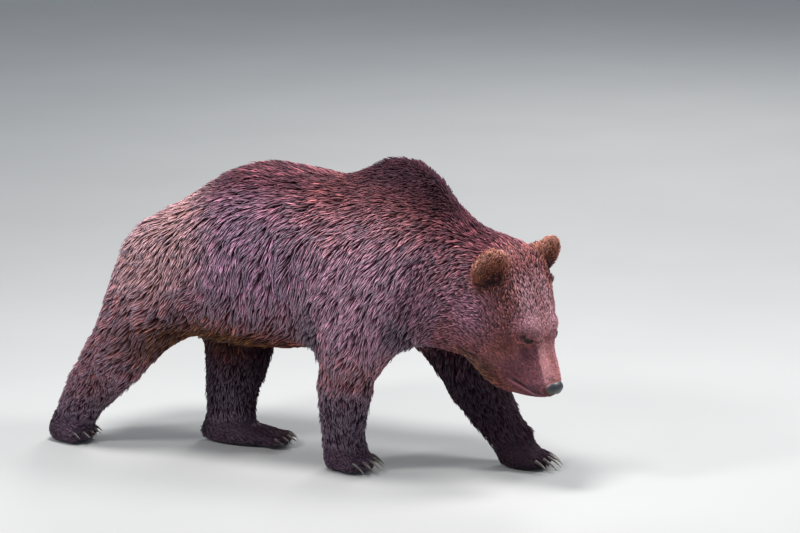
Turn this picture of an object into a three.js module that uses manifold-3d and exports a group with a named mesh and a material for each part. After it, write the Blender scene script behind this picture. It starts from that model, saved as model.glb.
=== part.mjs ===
// A life-size brown bear at a walk: right feet trailing, left fore foot reaching, head low and
// turned to its right. The body is one rounded form, described as a field of distances and
// meshed region by region, so that thin flat cuts part it into head, neck, trunk and limbs.
// Millimetres. +X is the way the bear walks, +Y its left, +Z up. It stands on Z = 0, and the
// origin is under the middle of its outline.
import * as THREE from "three";
import { mergeVertices } from "three/addons/utils/BufferGeometryUtils.js";
import Module from "manifold-3d";

const wasm = await Module();
wasm.setup();

// ---------------------------------------------------------------- driving dimensions
const cutGap = 0.3; // between two neighbours
// The mesh's cell in each region.
const cell = {
  trunk: 70, neck: 52, tail: 36, upper_leg: 62, lower_leg: 51,
  paw: 28, head: 32, jaw: 30, ear: 24, nose: 15,
};

// The trunk's outline, coat included, from the rump to the breast.
// x along the body, top and bottom heights, half the breadth.
const trunkStations = [
  { x: -832, top: 590, bottom: 490, half: 50 },
  { x: -802, top: 632, bottom: 445, half: 100 },
  { x: -740, top: 690, bottom: 405, half: 150 },
  { x: -630, top: 778, bottom: 368, half: 200 },
  { x: -480, top: 880, bottom: 346, half: 238 },
  { x: -350, top: 922, bottom: 337, half: 254 },
  { x: -200, top: 912, bottom: 342, half: 258 },
  { x: -60, top: 894, bottom: 356, half: 246 },
  { x: 80, top: 886, bottom: 374, half: 222 },
  { x: 200, top: 842, bottom: 402, half: 188 },
  { x: 300, top: 752, bottom: 452, half: 140 },
  { x: 360, top: 670, bottom: 520, half: 85 },
];
const widestAt = 0.42; // share of the trunk's height where it is broadest
const trunkSquareness = 2.25; // exponent of the cross-section: 2 is an ellipse

const hump = { at: [125, 0, 858], radii: [150, 92, 114] };
const neck = { from: [165, 0, 662], to: [420, -22, 604], r: [188, 142], side: 0.9 };
const throat = { at: [292, -42, 488], radii: [135, 100, 104] };
// The width over which neighbouring forms run into each other.
const blend = {
  trunk: 95, limb: 70, neck: 90, nape: 60, head: 42, muzzle: 26, toe: 9, foot: 30, tail: 30, ear: 22, cup: 12,
};

// Limbs as chains of joints, each with the flesh's radius there, and a paw.
const limbs = {
  front_right: {
    muscle: { at: [88, -134, 620], radii: [120, 84, 225], lean: 12 },
    chain: [
      { at: [95, -150, 590], r: 135 },
      { at: [38, -168, 435], r: 124 },
      { at: [-6, -164, 300], r: 96 },
      { at: [-28, -140, 165], r: 79 },
      { at: [-30, -128, 85], r: 70 },
    ],
    side: 0.86,
    paw: { at: [-20, -122, 0], heading: -6, length: 152, width: 146, height: 88, hind: false },
  },
  front_left: {
    muscle: { at: [112, 134, 612], radii: [120, 84, 225], lean: 6 },
    chain: [
      { at: [125, 150, 590], r: 135 },
      { at: [190, 158, 410], r: 120 },
      { at: [275, 145, 270], r: 97 },
      { at: [372, 128, 145], r: 80 },
      { at: [428, 120, 82], r: 68 },
    ],
    side: 0.86,
    paw: { at: [466, 118, 0], heading: 2, length: 162, width: 146, height: 84, hind: false },
  },
  hind_right: {
    muscle: { at: [-650, -112, 560], radii: [138, 94, 205], lean: 30 },
    chain: [
      { at: [-632, -112, 590], r: 140 },
      { at: [-706, -146, 430], r: 138 },
      { at: [-795, -158, 300], r: 108 },
      { at: [-885, -152, 190], r: 88 },
      { at: [-950, -146, 105], r: 70 },
    ],
    side: 0.84,
    paw: { at: [-972, -142, 0], heading: -8, length: 148, width: 138, height: 96, hind: true },
  },
  hind_left: {
    muscle: { at: [-618, 112, 560], radii: [150, 94, 205], lean: -4 },
    chain: [
      { at: [-606, 112, 590], r: 140 },
      { at: [-520, 138, 430], r: 142 },
      { at: [-500, 112, 300], r: 118 },
      { at: [-505, 72, 175], r: 92 },
      { at: [-504, 52, 85], r: 78 },
    ],
    side: 0.84,
    paw: { at: [-448, 38, 0], heading: 3, length: 300, width: 138, height: 82, hind: true },
  },
};

// The head in its own frame: x to the nose, y to the left, z to the crown, from a point
// between the ears.
const headPose = { at: [445, -30, 634], yaw: -21.5, pitch: 55.8, roll: 3, scale: 1.03 };
const skull = {
  cranium: { at: [40, 0, 12], radii: [150, 118, 100] },
  forehead: { at: [140, 0, 26], radii: [104, 82, 66] },
  cheek: { at: [86, 80, -52], radii: [130, 76, 106] },
  muzzle: { from: [172, 0, -2], to: [338, 0, -20], r: [72, 49], side: 1.0 },
  jaw: {
    chain: [
      { at: [70, 0, -95], r: 105 },
      { at: [175, 0, -112], r: 104 },
      { at: [252, 0, -108], r: 78 },
      { at: [298, 0, -86], r: 54 },
      { at: [334, 0, -66], r: 34 },
    ],
    side: 1.12,
  },
  brow: { at: [190, 50, 44], r: 27 },
};
// "open" is the hollow's share of the ear, and "low" how far below the middle it lies.
const ear = {
  at: [-5, 116, 80], width: 132, height: 134, thick: 62, turn: 12, tip: 36, open: 0.6, low: 16,
};
const eye = { at: [221, 57, 43], r: 12.5, proud: 3 };
const mouth = { corner: [252, 0, -60], slope: 5 }; // where the lips part, and their rise forward
const nosePad = { at: [368, 0, -2], radii: [22, 31, 23] };
const tail = { from: [-800, 0, 596], to: [-846, 0, 500], r: [36, 25] };
const claw = { length: 62, radius: 7.5, curl: 46, rings: 4, sides: 5 };
const hindClaw = { ...claw, length: 42, radius: 6.5, curl: 34 };

// ---------------------------------------------------------------- distance fields
const vec = (a) => new THREE.Vector3(...a);
const degrees = THREE.MathUtils.degToRad;
const span = (from, to) => new THREE.Box3().setFromPoints([vec(from), vec(to)]);
const around = (at, half) => span(at, at).expandByScalar(half);
const scratch = new THREE.Vector3();

// Two fields run into each other over the width k.
function melt(a, b, k) {
  const h = Math.max(k - Math.abs(a - b), 0) / k;
  return Math.min(a, b) - h * h * k * 0.25;
}

function ellipsoid({ at, radii, lean = 0 }) {
  const turn = new THREE.Matrix4().makeRotationY(degrees(lean));
  const back = turn.setPosition(...at).invert();
  return (p) => {
    const q = scratch.copy(p).applyMatrix4(back);
    const near = Math.hypot(q.x / radii[0], q.y / radii[1], q.z / radii[2]);
    const slope = Math.hypot(q.x / radii[0] ** 2, q.y / radii[1] ** 2, q.z / radii[2] ** 2);
    return slope < 1e-9 ? -Math.min(...radii) : (near * (near - 1)) / slope;
  };
}

// A tapering round bar, "side" times as broad across Y as it is deep.
function bar(from, to, r0, r1, side = 1) {
  const a = vec(from);
  const axis = vec(to).sub(a);
  const long = axis.length();
  axis.normalize();
  return (p) => {
    const q = scratch.copy(p).sub(a);
    const t = THREE.MathUtils.clamp(q.dot(axis) / long, 0, 1);
    q.addScaledVector(axis, -t * long);
    const r = r0 + (r1 - r0) * t;
    const away = Math.hypot(q.x, q.y / side, q.z);
    return (away - r) * (away > 1e-6 ? Math.min(1, q.length() / away + 0.001) : 1);
  };
}

function mirrorY(form, side) {
  return { ...form, at: [form.at[0], form.at[1] * side, form.at[2]] };
}

// Catmull-Rom through the stations, one named measure at a time.
function measure(name) {
  const xs = trunkStations.map((s) => s.x);
  const ys = trunkStations.map((s) => s[name]);
  return (x) => {
    const n = xs.length - 1;
    let i = 0;
    while (i < n - 1 && x > xs[i + 1]) i++;
    const t = THREE.MathUtils.clamp((x - xs[i]) / (xs[i + 1] - xs[i]), 0, 1);
    const slope = (k) => {
      const lo = Math.max(k - 1, 0);
      const hi = Math.min(k + 1, n);
      return (ys[hi] - ys[lo]) / (xs[hi] - xs[lo]);
    };
    const gap = xs[i + 1] - xs[i];
    const t2 = t * t;
    const t3 = t2 * t;
    return (
      (2 * t3 - 3 * t2 + 1) * ys[i] +
      (t3 - 2 * t2 + t) * gap * slope(i) +
      (3 * t2 - 2 * t3) * ys[i + 1] +
      (t3 - t2) * gap * slope(i + 1)
    );
  };
}

function barrel() {
  const [top, bottom, half] = ["top", "bottom", "half"].map(measure);
  const first = trunkStations[0].x;
  const last = trunkStations.at(-1).x;
  return (p) => {
    const x = THREE.MathUtils.clamp(p.x, first, last);
    const hi = top(x);
    const lo = bottom(x);
    const middle = lo + widestAt * (hi - lo);
    const tall = p.z > middle ? hi - middle : middle - lo;
    const n = trunkSquareness;
    const rho = ((Math.abs(p.y) / half(x)) ** n + (Math.abs(p.z - middle) / tall) ** n) ** (1 / n);
    const inside = (rho - 1) * Math.min(half(x), tall);
    const past = Math.abs(p.x - x);
    return past > 0 ? Math.hypot(Math.max(inside, 0), past) + Math.min(inside, 0) * 0.2 : inside;
  };
}

// The head's frame and its way back.
const headMatrix = new THREE.Matrix4().compose(
  vec(headPose.at),
  new THREE.Quaternion().setFromEuler(
    new THREE.Euler(degrees(headPose.roll), degrees(headPose.pitch), degrees(headPose.yaw), "ZYX"),
  ),
  new THREE.Vector3(headPose.scale, headPose.scale, headPose.scale),
);
const toHead = headMatrix.clone().invert();
const both = [-1, 1];

// Joints drawn out into short bars along a smooth line.
const barsPerChain = 14;
function chainField({ chain, side }) {
  const line = new THREE.CatmullRomCurve3(chain.map((j) => vec(j.at)), false, "centripetal");
  const thick = new THREE.SplineCurve(chain.map((j, i) => new THREE.Vector2(i, j.r)));
  const joints = [...Array(barsPerChain + 1).keys()].map((i) => {
    const t = i / barsPerChain;
    return { at: line.getPoint(t).toArray(), r: thick.getPoint(t).y };
  });
  const bars = joints.slice(1).map((j, i) => bar(joints[i].at, j.at, joints[i].r, j.r, side));
  return (p) => Math.min(...bars.map((f) => f(p)));
}

function skullField() {
  const whole = [ellipsoid(skull.cranium), ellipsoid(skull.forehead)];
  both.forEach((s) => whole.push(ellipsoid(mirrorY(skull.cheek, s))));
  const { muzzle, jaw, brow } = skull;
  const front = [
    bar(muzzle.from, muzzle.to, ...muzzle.r, muzzle.side),
    chainField(jaw),
    ...both.map((s) => ellipsoid({ ...mirrorY(brow, s), radii: [brow.r, brow.r, brow.r] })),
  ];
  const pad = ellipsoid(nosePad);
  return (q) => {
    let d = whole.reduce((sum, f) => melt(sum, f(q), blend.head), 1e4);
    d = front.reduce((sum, f) => melt(sum, f(q), blend.muzzle), d);
    return melt(d, pad(q), blend.toe);
  };
}

// An ear is a round disc with a hollow in its front.
function earField(side) {
  const turn = new THREE.Euler(0, degrees(-ear.tip), degrees(side * ear.turn), "ZYX");
  const back = new THREE.Matrix4().makeRotationFromEuler(turn);
  back.setPosition(ear.at[0], ear.at[1] * side, ear.at[2]).invert();
  const radii = [ear.thick / 2, ear.width / 2, ear.height / 2];
  const disc = ellipsoid({ at: [0, 0, 0], radii });
  const hollow = ellipsoid({ at: [ear.thick * 0.52, 0, -ear.low], radii: radii.map((r) => r * ear.open) });
  const q = new THREE.Vector3();
  return (p) => {
    q.copy(p).applyMatrix4(back);
    return -melt(-disc(q), hollow(q), blend.cup);
  };
}

const skullOnly = skullField();
const ears = both.map(earField);
const headLocal = new THREE.Vector3();
function headField(p) {
  headLocal.copy(p).applyMatrix4(toHead);
  const d = ears.reduce((sum, f) => melt(sum, f(headLocal), blend.ear), skullOnly(headLocal));
  return d * headPose.scale;
}

const headReach = 470; // from its middle to past the nose
const headRoom = around(headMatrix.elements.slice(12, 15), headReach);
const nearHead = nearby(headField, headRoom);

// A paw: a flat-soled pad with five toes on an arc.
function pawFrame({ at, heading }) {
  return new THREE.Matrix4().makeRotationZ(degrees(heading)).setPosition(...at);
}
const toeSpread = [-2, -1, 0, 1, 2];
function toePlace({ length, width, height }, k) {
  const across = k * width * 0.2;
  const ahead = length * 0.5 - 18 - 5.5 * k * k;
  return [ahead, across, height * 0.3];
}
function pawField(paw) {
  const back = pawFrame(paw).invert();
  const { length, width, height } = paw;
  const pad = ellipsoid({
    at: [length * 0.06, 0, height * 0.34],
    radii: [length * 0.4, width * 0.48, height * 0.52],
  });
  const heel = ellipsoid({
    at: [-length * 0.24, 0, height * 0.4],
    radii: [length * 0.28, width * 0.4, height * 0.56],
  });
  const toes = toeSpread.map((k) => {
    const at = toePlace(paw, k);
    return ellipsoid({ at, radii: [34, width * 0.118, height * 0.34] });
  });
  const q = new THREE.Vector3();
  return (p) => {
    q.copy(p).applyMatrix4(back);
    const palm = melt(pad(q), heel(q), blend.foot);
    return toes.reduce((sum, f) => melt(sum, f(q), blend.toe), palm);
  };
}

function limbBox({ chain, paw }) {
  const box = around(paw.at, paw.length * 0.5 + 50);
  chain.forEach(({ at, r }) => box.union(around(at, r + 40)));
  return box;
}

// Far from its box, a field is only the way to the box and the width of a melt.
function nearby(field, box) {
  return (p) => {
    const away = box.distanceToPoint(p);
    return away > blend.trunk ? away + blend.trunk : field(p);
  };
}

function limbField(limb) {
  const leg = chainField(limb);
  const foot = nearby(pawField(limb.paw), around(limb.paw.at, limb.paw.length * 0.5 + 20));
  return nearby((p) => melt(leg(p), foot(p), blend.foot), limbBox(limb));
}
const limbFields = Object.values(limbs).map(limbField);
const trunkFields = [hump, ...Object.values(limbs).map((limb) => limb.muscle)].map(ellipsoid);
const barrelField = barrel();
const neckField = bar(neck.from, neck.to, ...neck.r, neck.side);
const throatField = ellipsoid(throat);
const tailField = bar(tail.from, tail.to, ...tail.r);

function bear(p) {
  let d = trunkFields.reduce((sum, f) => melt(sum, f(p), blend.trunk), barrelField(p));
  d = limbFields.reduce((sum, f) => melt(sum, f(p), blend.limb), d);
  d = melt(melt(d, neckField(p), blend.neck), throatField(p), blend.limb);
  d = melt(d, tailField(p), blend.tail);
  return melt(d, nearHead(p), blend.nape);
}

// ---------------------------------------------------------------- meshing
// Puts one vertex in each cell that the surface crosses, draws it onto the surface, and joins
// neighbouring cells by two triangles.
function meshField(field, box, size) {
  const span = box.getSize(new THREE.Vector3());
  const n = span.toArray().map((s) => Math.ceil(s / size) + 1);
  const index = (i, j, k) => i + n[0] * (j + n[1] * k);
  const p = new THREE.Vector3();
  const closed = (q) => Math.max(field(q), -insideBox(box, q));
  const values = new Float64Array(n[0] * n[1] * n[2]);
  const at = (i, j, k) => p.set(i, j, k).multiplyScalar(size).add(box.min);
  for (let k = 0; k < n[2]; k++)
    for (let j = 0; j < n[1]; j++)
      for (let i = 0; i < n[0]; i++) values[index(i, j, k)] = closed(at(i, j, k));
  const corners = [...Array(8).keys()].map((c) => [c & 1, (c >> 1) & 1, c >> 2]);
  const vertexOf = new Map();
  const positions = [];
  for (let k = 0; k < n[2] - 1; k++)
    for (let j = 0; j < n[1] - 1; j++)
      for (let i = 0; i < n[0] - 1; i++) {
        const v = corners.map(([a, b, c]) => values[index(i + a, j + b, k + c)]);
        if (v.every((x) => x < 0) || v.every((x) => x >= 0)) continue;
        const sum = new THREE.Vector3();
        let count = 0;
        corners.forEach((a, ca) =>
          corners.forEach((b, cb) => {
            const apart = Math.abs(a[0] - b[0]) + Math.abs(a[1] - b[1]) + Math.abs(a[2] - b[2]);
            if (cb <= ca || apart !== 1 || v[ca] < 0 === v[cb] < 0) return;
            const t = v[ca] / (v[ca] - v[cb]);
            sum.add(vec(a).lerp(vec(b), t));
            count++;
          }),
        );
        const start = sum.divideScalar(count).add(vec([i, j, k])).multiplyScalar(size).add(box.min);
        vertexOf.set(index(i, j, k), positions.length / 3);
        positions.push(...drawOn(closed, start, size).toArray());
      }
  const faces = [];
  const steps = [index(1, 0, 0), index(0, 1, 0), index(0, 0, 1)];
  for (let k = 0; k < n[2] - 1; k++)
    for (let j = 0; j < n[1] - 1; j++)
      for (let i = 0; i < n[0] - 1; i++)
        for (let axis = 0; axis < 3; axis++) {
          if ([i, j, k].some((c, other) => other !== axis && c === 0)) continue;
          const here = index(i, j, k);
          const inside = values[here] < 0;
          if (inside === values[here + steps[axis]] < 0) continue;
          const u = steps[(axis + 1) % 3];
          const w = steps[(axis + 2) % 3];
          const quad = [here - u - w, here - w, here, here - u].map((c) => vertexOf.get(c));
          if (!inside) quad.reverse();
          faces.push(...splitQuad(quad, positions));
        }
  return { positions, faces };
}

// How far inside a box a point lies.
function insideBox(box, p) {
  return Math.min(...["x", "y", "z"].flatMap((a) => [p[a] - box.min[a], box.max[a] - p[a]]));
}

// Moves a point onto the surface, at most half a cell away.
function drawOn(field, start, size) {
  const p = start.clone();
  const e = size * 0.05;
  for (let turn = 0; turn < 3; turn++) {
    const d = field(p);
    const slope = [0, 1, 2].map((a) => {
      const q = p.clone().setComponent(a, p.getComponent(a) + e);
      return (field(q) - d) / e;
    });
    const g = vec(slope);
    const steep = Math.max(g.lengthSq(), 0.05);
    p.addScaledVector(g, -d / steep);
  }
  const limit = size * 0.45;
  return p.sub(start).clampLength(0, limit).add(start);
}

function splitQuad(quad, positions) {
  const [a, b, c, d] = quad.map((i) => vec(positions.slice(3 * i, 3 * i + 3)));
  const [i, j, k, l] = quad;
  return a.distanceTo(c) < b.distanceTo(d) ? [i, j, k, i, k, l] : [i, j, l, j, k, l];
}

function solid({ positions, faces }) {
  const mesh = new wasm.Mesh({
    numProp: 3,
    vertProperties: Float32Array.from(positions),
    triVerts: Uint32Array.from(faces),
  });
  return new wasm.Manifold(mesh);
}

// A three.js form as a solid.
function solidOf(geometry) {
  const bare = new THREE.BufferGeometry().setIndex(geometry.index);
  bare.setAttribute("position", geometry.attributes.position);
  const whole = mergeVertices(bare, 1e-4);
  return solid({ positions: whole.attributes.position.array, faces: whole.index.array });
}

// ---------------------------------------------------------------- regions
// A region is the room on the near side of a few planes. Each plane has a point on it and the
// direction that the region lies in.
const reach = 3000; // wider than the bear
function region(planes, grow = 0) {
  const block = solidOf(new THREE.BoxGeometry(reach, reach, reach));
  return planes.reduce((room, { at, into }) => {
    const n = vec(into).normalize();
    return room.trimByPlane(n.toArray(), n.dot(vec(at)) - grow);
  }, block);
}

// A plane given in the head's own frame.
function headPlane(at, into) {
  const n = vec(into).transformDirection(headMatrix);
  return { at: vec(at).applyMatrix4(headMatrix).toArray(), into: n.toArray() };
}

const cuts = {
  nape: headPlane([-60, 0, 130], [0.9, 0, 0.43]),
  underJaw: headPlane([0, 0, -238], [0, 0, 1]),
  collar: { at: [236, 0, 640], into: [0.96, -0.08, -0.26] },
  mouth: headPlane(mouth.corner, [Math.sin(degrees(mouth.slope)), 0, -Math.cos(degrees(mouth.slope))]),
  mouthEnd: headPlane(mouth.corner, [1, 0, 0]),
  nostrils: headPlane([350, 0, 0], [1, 0, 0.1]),
  lip: headPlane([350, 0, -24], [0.2, 0, 1]),
  tailRoot: { at: [-806, 0, 590], into: [-0.9, 0, -0.25] },
};
const earRoot = (s) => [
  headPlane([0, 92 * s, 84], [0, 0.72 * s, 0.69]),
  headPlane([-78, 0, 0], [1, 0, 0]),
  headPlane([80, 0, 0], [-1, 0, 0]),
];

// The planes that part a limb: its top, leaning outwards up the flank, and its two joints.
const partings = {
  front_right: {
    top: [
      { at: [40, -70, 408], into: [0, -0.66, -0.75] },
      { at: [236, 0, 440], into: [-1, 0, 0] },
      { at: [-150, 0, 400], into: [1, 0, 0] },
      { at: [0, -15, 0], into: [0, -1, 0] },
    ],
    elbow: { at: [-4, -164, 292], into: [-0.2, 0, -1] },
    wrist: { at: [-30, -128, 96], into: [0, 0, -1] },
  },
  front_left: {
    top: [
      { at: [150, 70, 408], into: [0, 0.66, -0.75] },
      { at: [-10, 0, 400], into: [1, 0, 0.1] },
      { at: [0, 15, 0], into: [0, 1, 0] },
    ],
    elbow: { at: [275, 145, 270], into: [0.56, -0.08, -0.82] },
    wrist: { at: [420, 122, 92], into: [0.5, 0, -0.86] },
  },
  hind_right: {
    top: [
      { at: [-640, -70, 405], into: [0, -0.7, -0.71] },
      { at: [-440, 0, 400], into: [-1, 0, 0] },
      { at: [0, -15, 0], into: [0, -1, 0] },
    ],
    elbow: { at: [-790, -158, 305], into: [-0.62, 0, -0.78] },
    wrist: { at: [-940, -146, 112], into: [-0.35, 0, -0.94] },
  },
  hind_left: {
    top: [
      { at: [-560, 70, 405], into: [0, 0.7, -0.71] },
      { at: [-320, 0, 400], into: [-1, 0, 0] },
      { at: [-790, 0, 400], into: [1, 0, 0] },
      { at: [0, -46, 0], into: [0, 1, 0] },
    ],
    elbow: { at: [-500, 112, 300], into: [0, -0.1, -1] },
    wrist: { at: [-506, 60, 94], into: [0.05, 0, -1] },
  },
};

// ---------------------------------------------------------------- parts
// The body inside a region, less the regions of its neighbours.
function flesh(box, size, planes, neighbours = []) {
  const whole = solid(meshField(bear, box, size)).intersect(region(planes));
  const part = neighbours.reduce((rest, other) => rest.subtract(region(other, cutGap)), whole);
  return part.decompose().reduce((a, b) => (b.volume() > a.volume() ? b : a));
}

const floor = { at: [0, 0, 0], into: [0, 0, 1] };

// A bent cone, its root at the origin, pointing along +X and curling down.
function clawForm({ length, radius, curl, rings, sides }, spare = 0) {
  const cone = new THREE.ConeGeometry(radius + spare, length, sides, rings);
  cone.rotateZ(-Math.PI / 2).translate(length / 2, 0, 0);
  const turn = length / degrees(curl);
  const p = cone.attributes.position;
  for (let i = 0; i < p.count; i++) {
    const angle = p.getX(i) / turn;
    const out = turn + p.getZ(i);
    p.setX(i, out * Math.sin(angle) - spare * Math.cos(angle));
    p.setZ(i, out * Math.cos(angle) - turn + spare * Math.sin(angle));
  }
  return cone;
}

function clawPlace(paw, k) {
  const at = toePlace(paw, k);
  const pitch = new THREE.Matrix4().makeRotationY(degrees(12));
  const spread = new THREE.Matrix4().makeRotationZ(degrees(4 * k));
  const seat = new THREE.Matrix4().makeTranslation(at[0] + 12, at[1], at[2] + paw.height * 0.13);
  return pawFrame(paw).multiply(seat).multiply(spread).multiply(pitch);
}

// ---------------------------------------------------------------- the bear
const coats = {
  trunk: 0x5b4038, legs: 0x4b332e, paws: 0x2b2024, neck: 0x5d4239, head: 0x6b4a3b,
  nose: 0x24242a, eye: 0x1c120d, claw: 0xb9b2a8,
};
const bearGroup = new THREE.Group();
bearGroup.name = "brown_bear";

function addNode(name, form, slot) {
  const geometry = form.isBufferGeometry ? form : geometryOf(form);
  const material = new THREE.MeshStandardMaterial({ color: coats[slot], name: slot });
  const mesh = new THREE.Mesh(geometry, material);
  mesh.name = name;
  bearGroup.add(mesh);
}

function geometryOf(form) {
  const { vertProperties, triVerts } = form.getMesh();
  const geometry = new THREE.BufferGeometry();
  geometry.setAttribute("position", new THREE.BufferAttribute(vertProperties, 3));
  geometry.setIndex([...triVerts]);
  return geometry;
}

// Trunk, neck and tail.
const limbTops = Object.values(partings).map(({ top }) => top);
const headCut = [cuts.nape, cuts.underJaw];
const neckRoom = [cuts.collar];
const tailRoom = [
  cuts.tailRoot,
  { at: [0, -56, 0], into: [0, 1, 0] },
  { at: [0, 56, 0], into: [0, -1, 0] },
];
addNode(
  "trunk",
  flesh(span([-900, -340, 250], [400, 340, 1040]), cell.trunk, [], [neckRoom, tailRoom, ...limbTops]),
  "trunk",
);
addNode(
  "neck",
  flesh(
    span([100, -300, 300], [640, 270, 960]),
    cell.neck,
    neckRoom,
    [headCut, earRoot(1), earRoot(-1), ...limbTops],
  ),
  "neck",
);
addNode("tail", flesh(span([-960, -90, 420], [-760, 90, 700]), cell.tail, tailRoom), "trunk");

// Head, with its lower jaw, nose, ears and eyes.
const jawRoom = [cuts.mouth, cuts.mouthEnd];
const noseRoom = [cuts.nostrils, cuts.lip];
// A box in the model's frame around a box in the head's.
const headBox = (from, to) => span(from, to).applyMatrix4(headMatrix);
const eyeAt = (s) => {
  const out = vec([0.35, s, 0.55]).transformDirection(headMatrix);
  const at = vec([eye.at[0], eye.at[1] * s, eye.at[2]]).applyMatrix4(headMatrix);
  const turns = 8;
  for (let turn = 0; turn < turns; turn++) at.addScaledVector(out, eye.proud - eye.r - bear(at));
  return at;
};
const ball = (at, spare) =>
  new THREE.SphereGeometry(eye.r + spare, 12, 8).translate(at.x, at.y, at.z);
const sides = { left: 1, right: -1 };
let head = flesh(
  headBox([-130, -210, -250], [410, 210, 200]),
  cell.head,
  headCut,
  [jawRoom, noseRoom, earRoot(1), earRoot(-1)],
);
for (const [side, s] of Object.entries(sides)) {
  head = head.subtract(solidOf(ball(eyeAt(s), cutGap)));
  addNode(`eye_${side}`, ball(eyeAt(s), 0), "eye");
  const earBox = headBox([-90, 60 * s, 20], [90, 215 * s, 180]);
  addNode(`ear_${side}`, flesh(earBox, cell.ear, [...earRoot(s), cuts.nape]), "head");
}
addNode("head", head, "head");
const jawBox = headBox([225, -140, -250], [420, 140, -10]);
addNode("lower_jaw", flesh(jawBox, cell.jaw, [...jawRoom, ...headCut]), "head");
addNode("nose", flesh(headBox([330, -70, -60], [420, 70, 60]), cell.nose, noseRoom, [jawRoom]), "nose");

// Limbs, with their claws seated in sockets a little larger than themselves.
for (const [name, limb] of Object.entries(limbs)) {
  const { top, elbow, wrist } = partings[name];
  const box = limbBox(limb).expandByScalar(50);
  addNode(`${name}_upper_leg`, flesh(box, cell.upper_leg, top, [[elbow]]), "trunk");
  addNode(`${name}_lower_leg`, flesh(box, cell.lower_leg, [elbow], [[wrist]]), "legs");
  const pawBox = around(limb.paw.at, limb.paw.length * 0.5 + 50);
  let paw = flesh(pawBox, cell.paw, [wrist, floor]);
  const form = limb.paw.hind ? hindClaw : claw;
  toeSpread.forEach((k, i) => {
    const place = clawPlace(limb.paw, k);
    paw = paw.subtract(solidOf(clawForm(form, cutGap).applyMatrix4(place)));
    addNode(`${name}_claw_${i + 1}`, clawForm(form).applyMatrix4(place), "claw");
  });
  addNode(`${name}_paw`, paw, "paws");
}

// The middle of the outline's foot becomes the origin.
const outline = new THREE.Box3().setFromObject(bearGroup);
const middle = outline.getCenter(new THREE.Vector3());
bearGroup.children.forEach((m) => m.geometry.translate(-middle.x, -middle.y, -outline.min.z));

export default bearGroup;
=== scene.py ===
"""A life-size brown bear at a walk: one skin under a mesh coat, in a plain pale studio.

All lengths are metres in the shared frame, +X the way the bear walks, +Y its left, +Z up.
Sizes on the head are millimetres in the head's own frame, where x runs to the nose.
"""

from __future__ import annotations

import logging
import math
from dataclasses import dataclass, field
from enum import Enum
from typing import Iterable, Sequence

import bmesh
import bpy
import numpy as np
from mathutils import Matrix, Vector
from mathutils.bvhtree import BVHTree
from mathutils.kdtree import KDTree

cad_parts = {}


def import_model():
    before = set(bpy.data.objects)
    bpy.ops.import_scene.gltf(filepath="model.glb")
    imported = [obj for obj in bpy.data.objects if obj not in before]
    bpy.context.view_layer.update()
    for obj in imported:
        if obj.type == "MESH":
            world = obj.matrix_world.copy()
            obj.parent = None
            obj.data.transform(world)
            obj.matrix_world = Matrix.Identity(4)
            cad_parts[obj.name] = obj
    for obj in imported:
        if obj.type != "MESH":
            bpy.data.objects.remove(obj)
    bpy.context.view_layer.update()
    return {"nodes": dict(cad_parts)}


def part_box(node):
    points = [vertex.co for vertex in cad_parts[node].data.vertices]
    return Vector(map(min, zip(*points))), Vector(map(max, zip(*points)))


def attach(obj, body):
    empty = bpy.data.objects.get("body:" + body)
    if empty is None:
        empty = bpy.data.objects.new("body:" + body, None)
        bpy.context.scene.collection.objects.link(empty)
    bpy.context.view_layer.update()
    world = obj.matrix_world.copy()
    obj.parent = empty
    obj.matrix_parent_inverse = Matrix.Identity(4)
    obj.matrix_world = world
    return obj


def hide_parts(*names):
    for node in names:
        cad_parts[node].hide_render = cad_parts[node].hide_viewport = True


log = logging.getLogger("bear")
MM = 0.001
SIDES = {"left": 1.0, "right": -1.0}
LIMBS = ("front_right", "front_left", "hind_right", "hind_left")
NodeTable = dict[str, bpy.types.Object]


class Part(Enum):
    """The kinds of flesh, each with a coat of its own."""

    TRUNK = "trunk"
    NECK = "neck"
    HEAD = "head"
    JAW = "lower_jaw"
    EAR = "ear"
    TAIL = "tail"
    THIGH = "upper_leg"
    SHANK = "lower_leg"
    PAW = "paw"


PARTS = list(Part)


def part_of(node: str) -> Part:
    """The kind of flesh that a node's name tells of."""
    return next(p for p in (*PARTS[1:], Part.TRUNK) if p.value in node)


# ---------------------------------------------------------------- small helpers


def ease(low: float, high: float, value: np.ndarray) -> np.ndarray:
    """Smooth step of value from 0 at low to 1 at high."""
    t = np.clip((value - low) / (high - low), 0.0, 1.0)
    return t * t * (3.0 - 2.0 * t)


def unit(v: np.ndarray) -> np.ndarray:
    """Rows of v at length one."""
    return v / np.maximum(np.linalg.norm(v, axis=-1, keepdims=True), 1e-9)


def mix(a: np.ndarray, b: np.ndarray, w: np.ndarray) -> np.ndarray:
    """Rows of a, taken to b by the weights w."""
    return a + (b - a) * w[:, None]


def hue(red: int, green: int, blue: int) -> np.ndarray:
    """A screen colour, 0 to 255, as linear light."""
    c = np.array([red, green, blue]) / 255.0
    return np.where(c <= 0.04045, c / 12.92, ((c + 0.055) / 1.055) ** 2.4)


def ripple(p: np.ndarray, wavelength: float, seed: int) -> np.ndarray:
    """A smooth value from about -1 to 1 that wanders from place to place.

    Args:
        p: places.
        wavelength: how far apart its crests are, in metres.
        seed: its random seed.
    Returns:
        One value for each place.
    """
    rng = np.random.default_rng(seed)
    waves = unit(rng.normal(size=(9, 3))) * rng.uniform(0.7, 1.5, (9, 1)) * 2.0 * math.pi / wavelength
    return np.sin(p @ waves.T + rng.uniform(0.0, 2.0 * math.pi, 9)).sum(1) / 3.2


def blob(p: np.ndarray, centre: Sequence[float], radii: Sequence[float]) -> np.ndarray:
    """A soft mask: 1 at the centre, falling to 0 past the radii."""
    far = np.linalg.norm((p - np.array(centre)) / np.array(radii), axis=1)
    return 1.0 - ease(0.35, 1.15, far)


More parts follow.
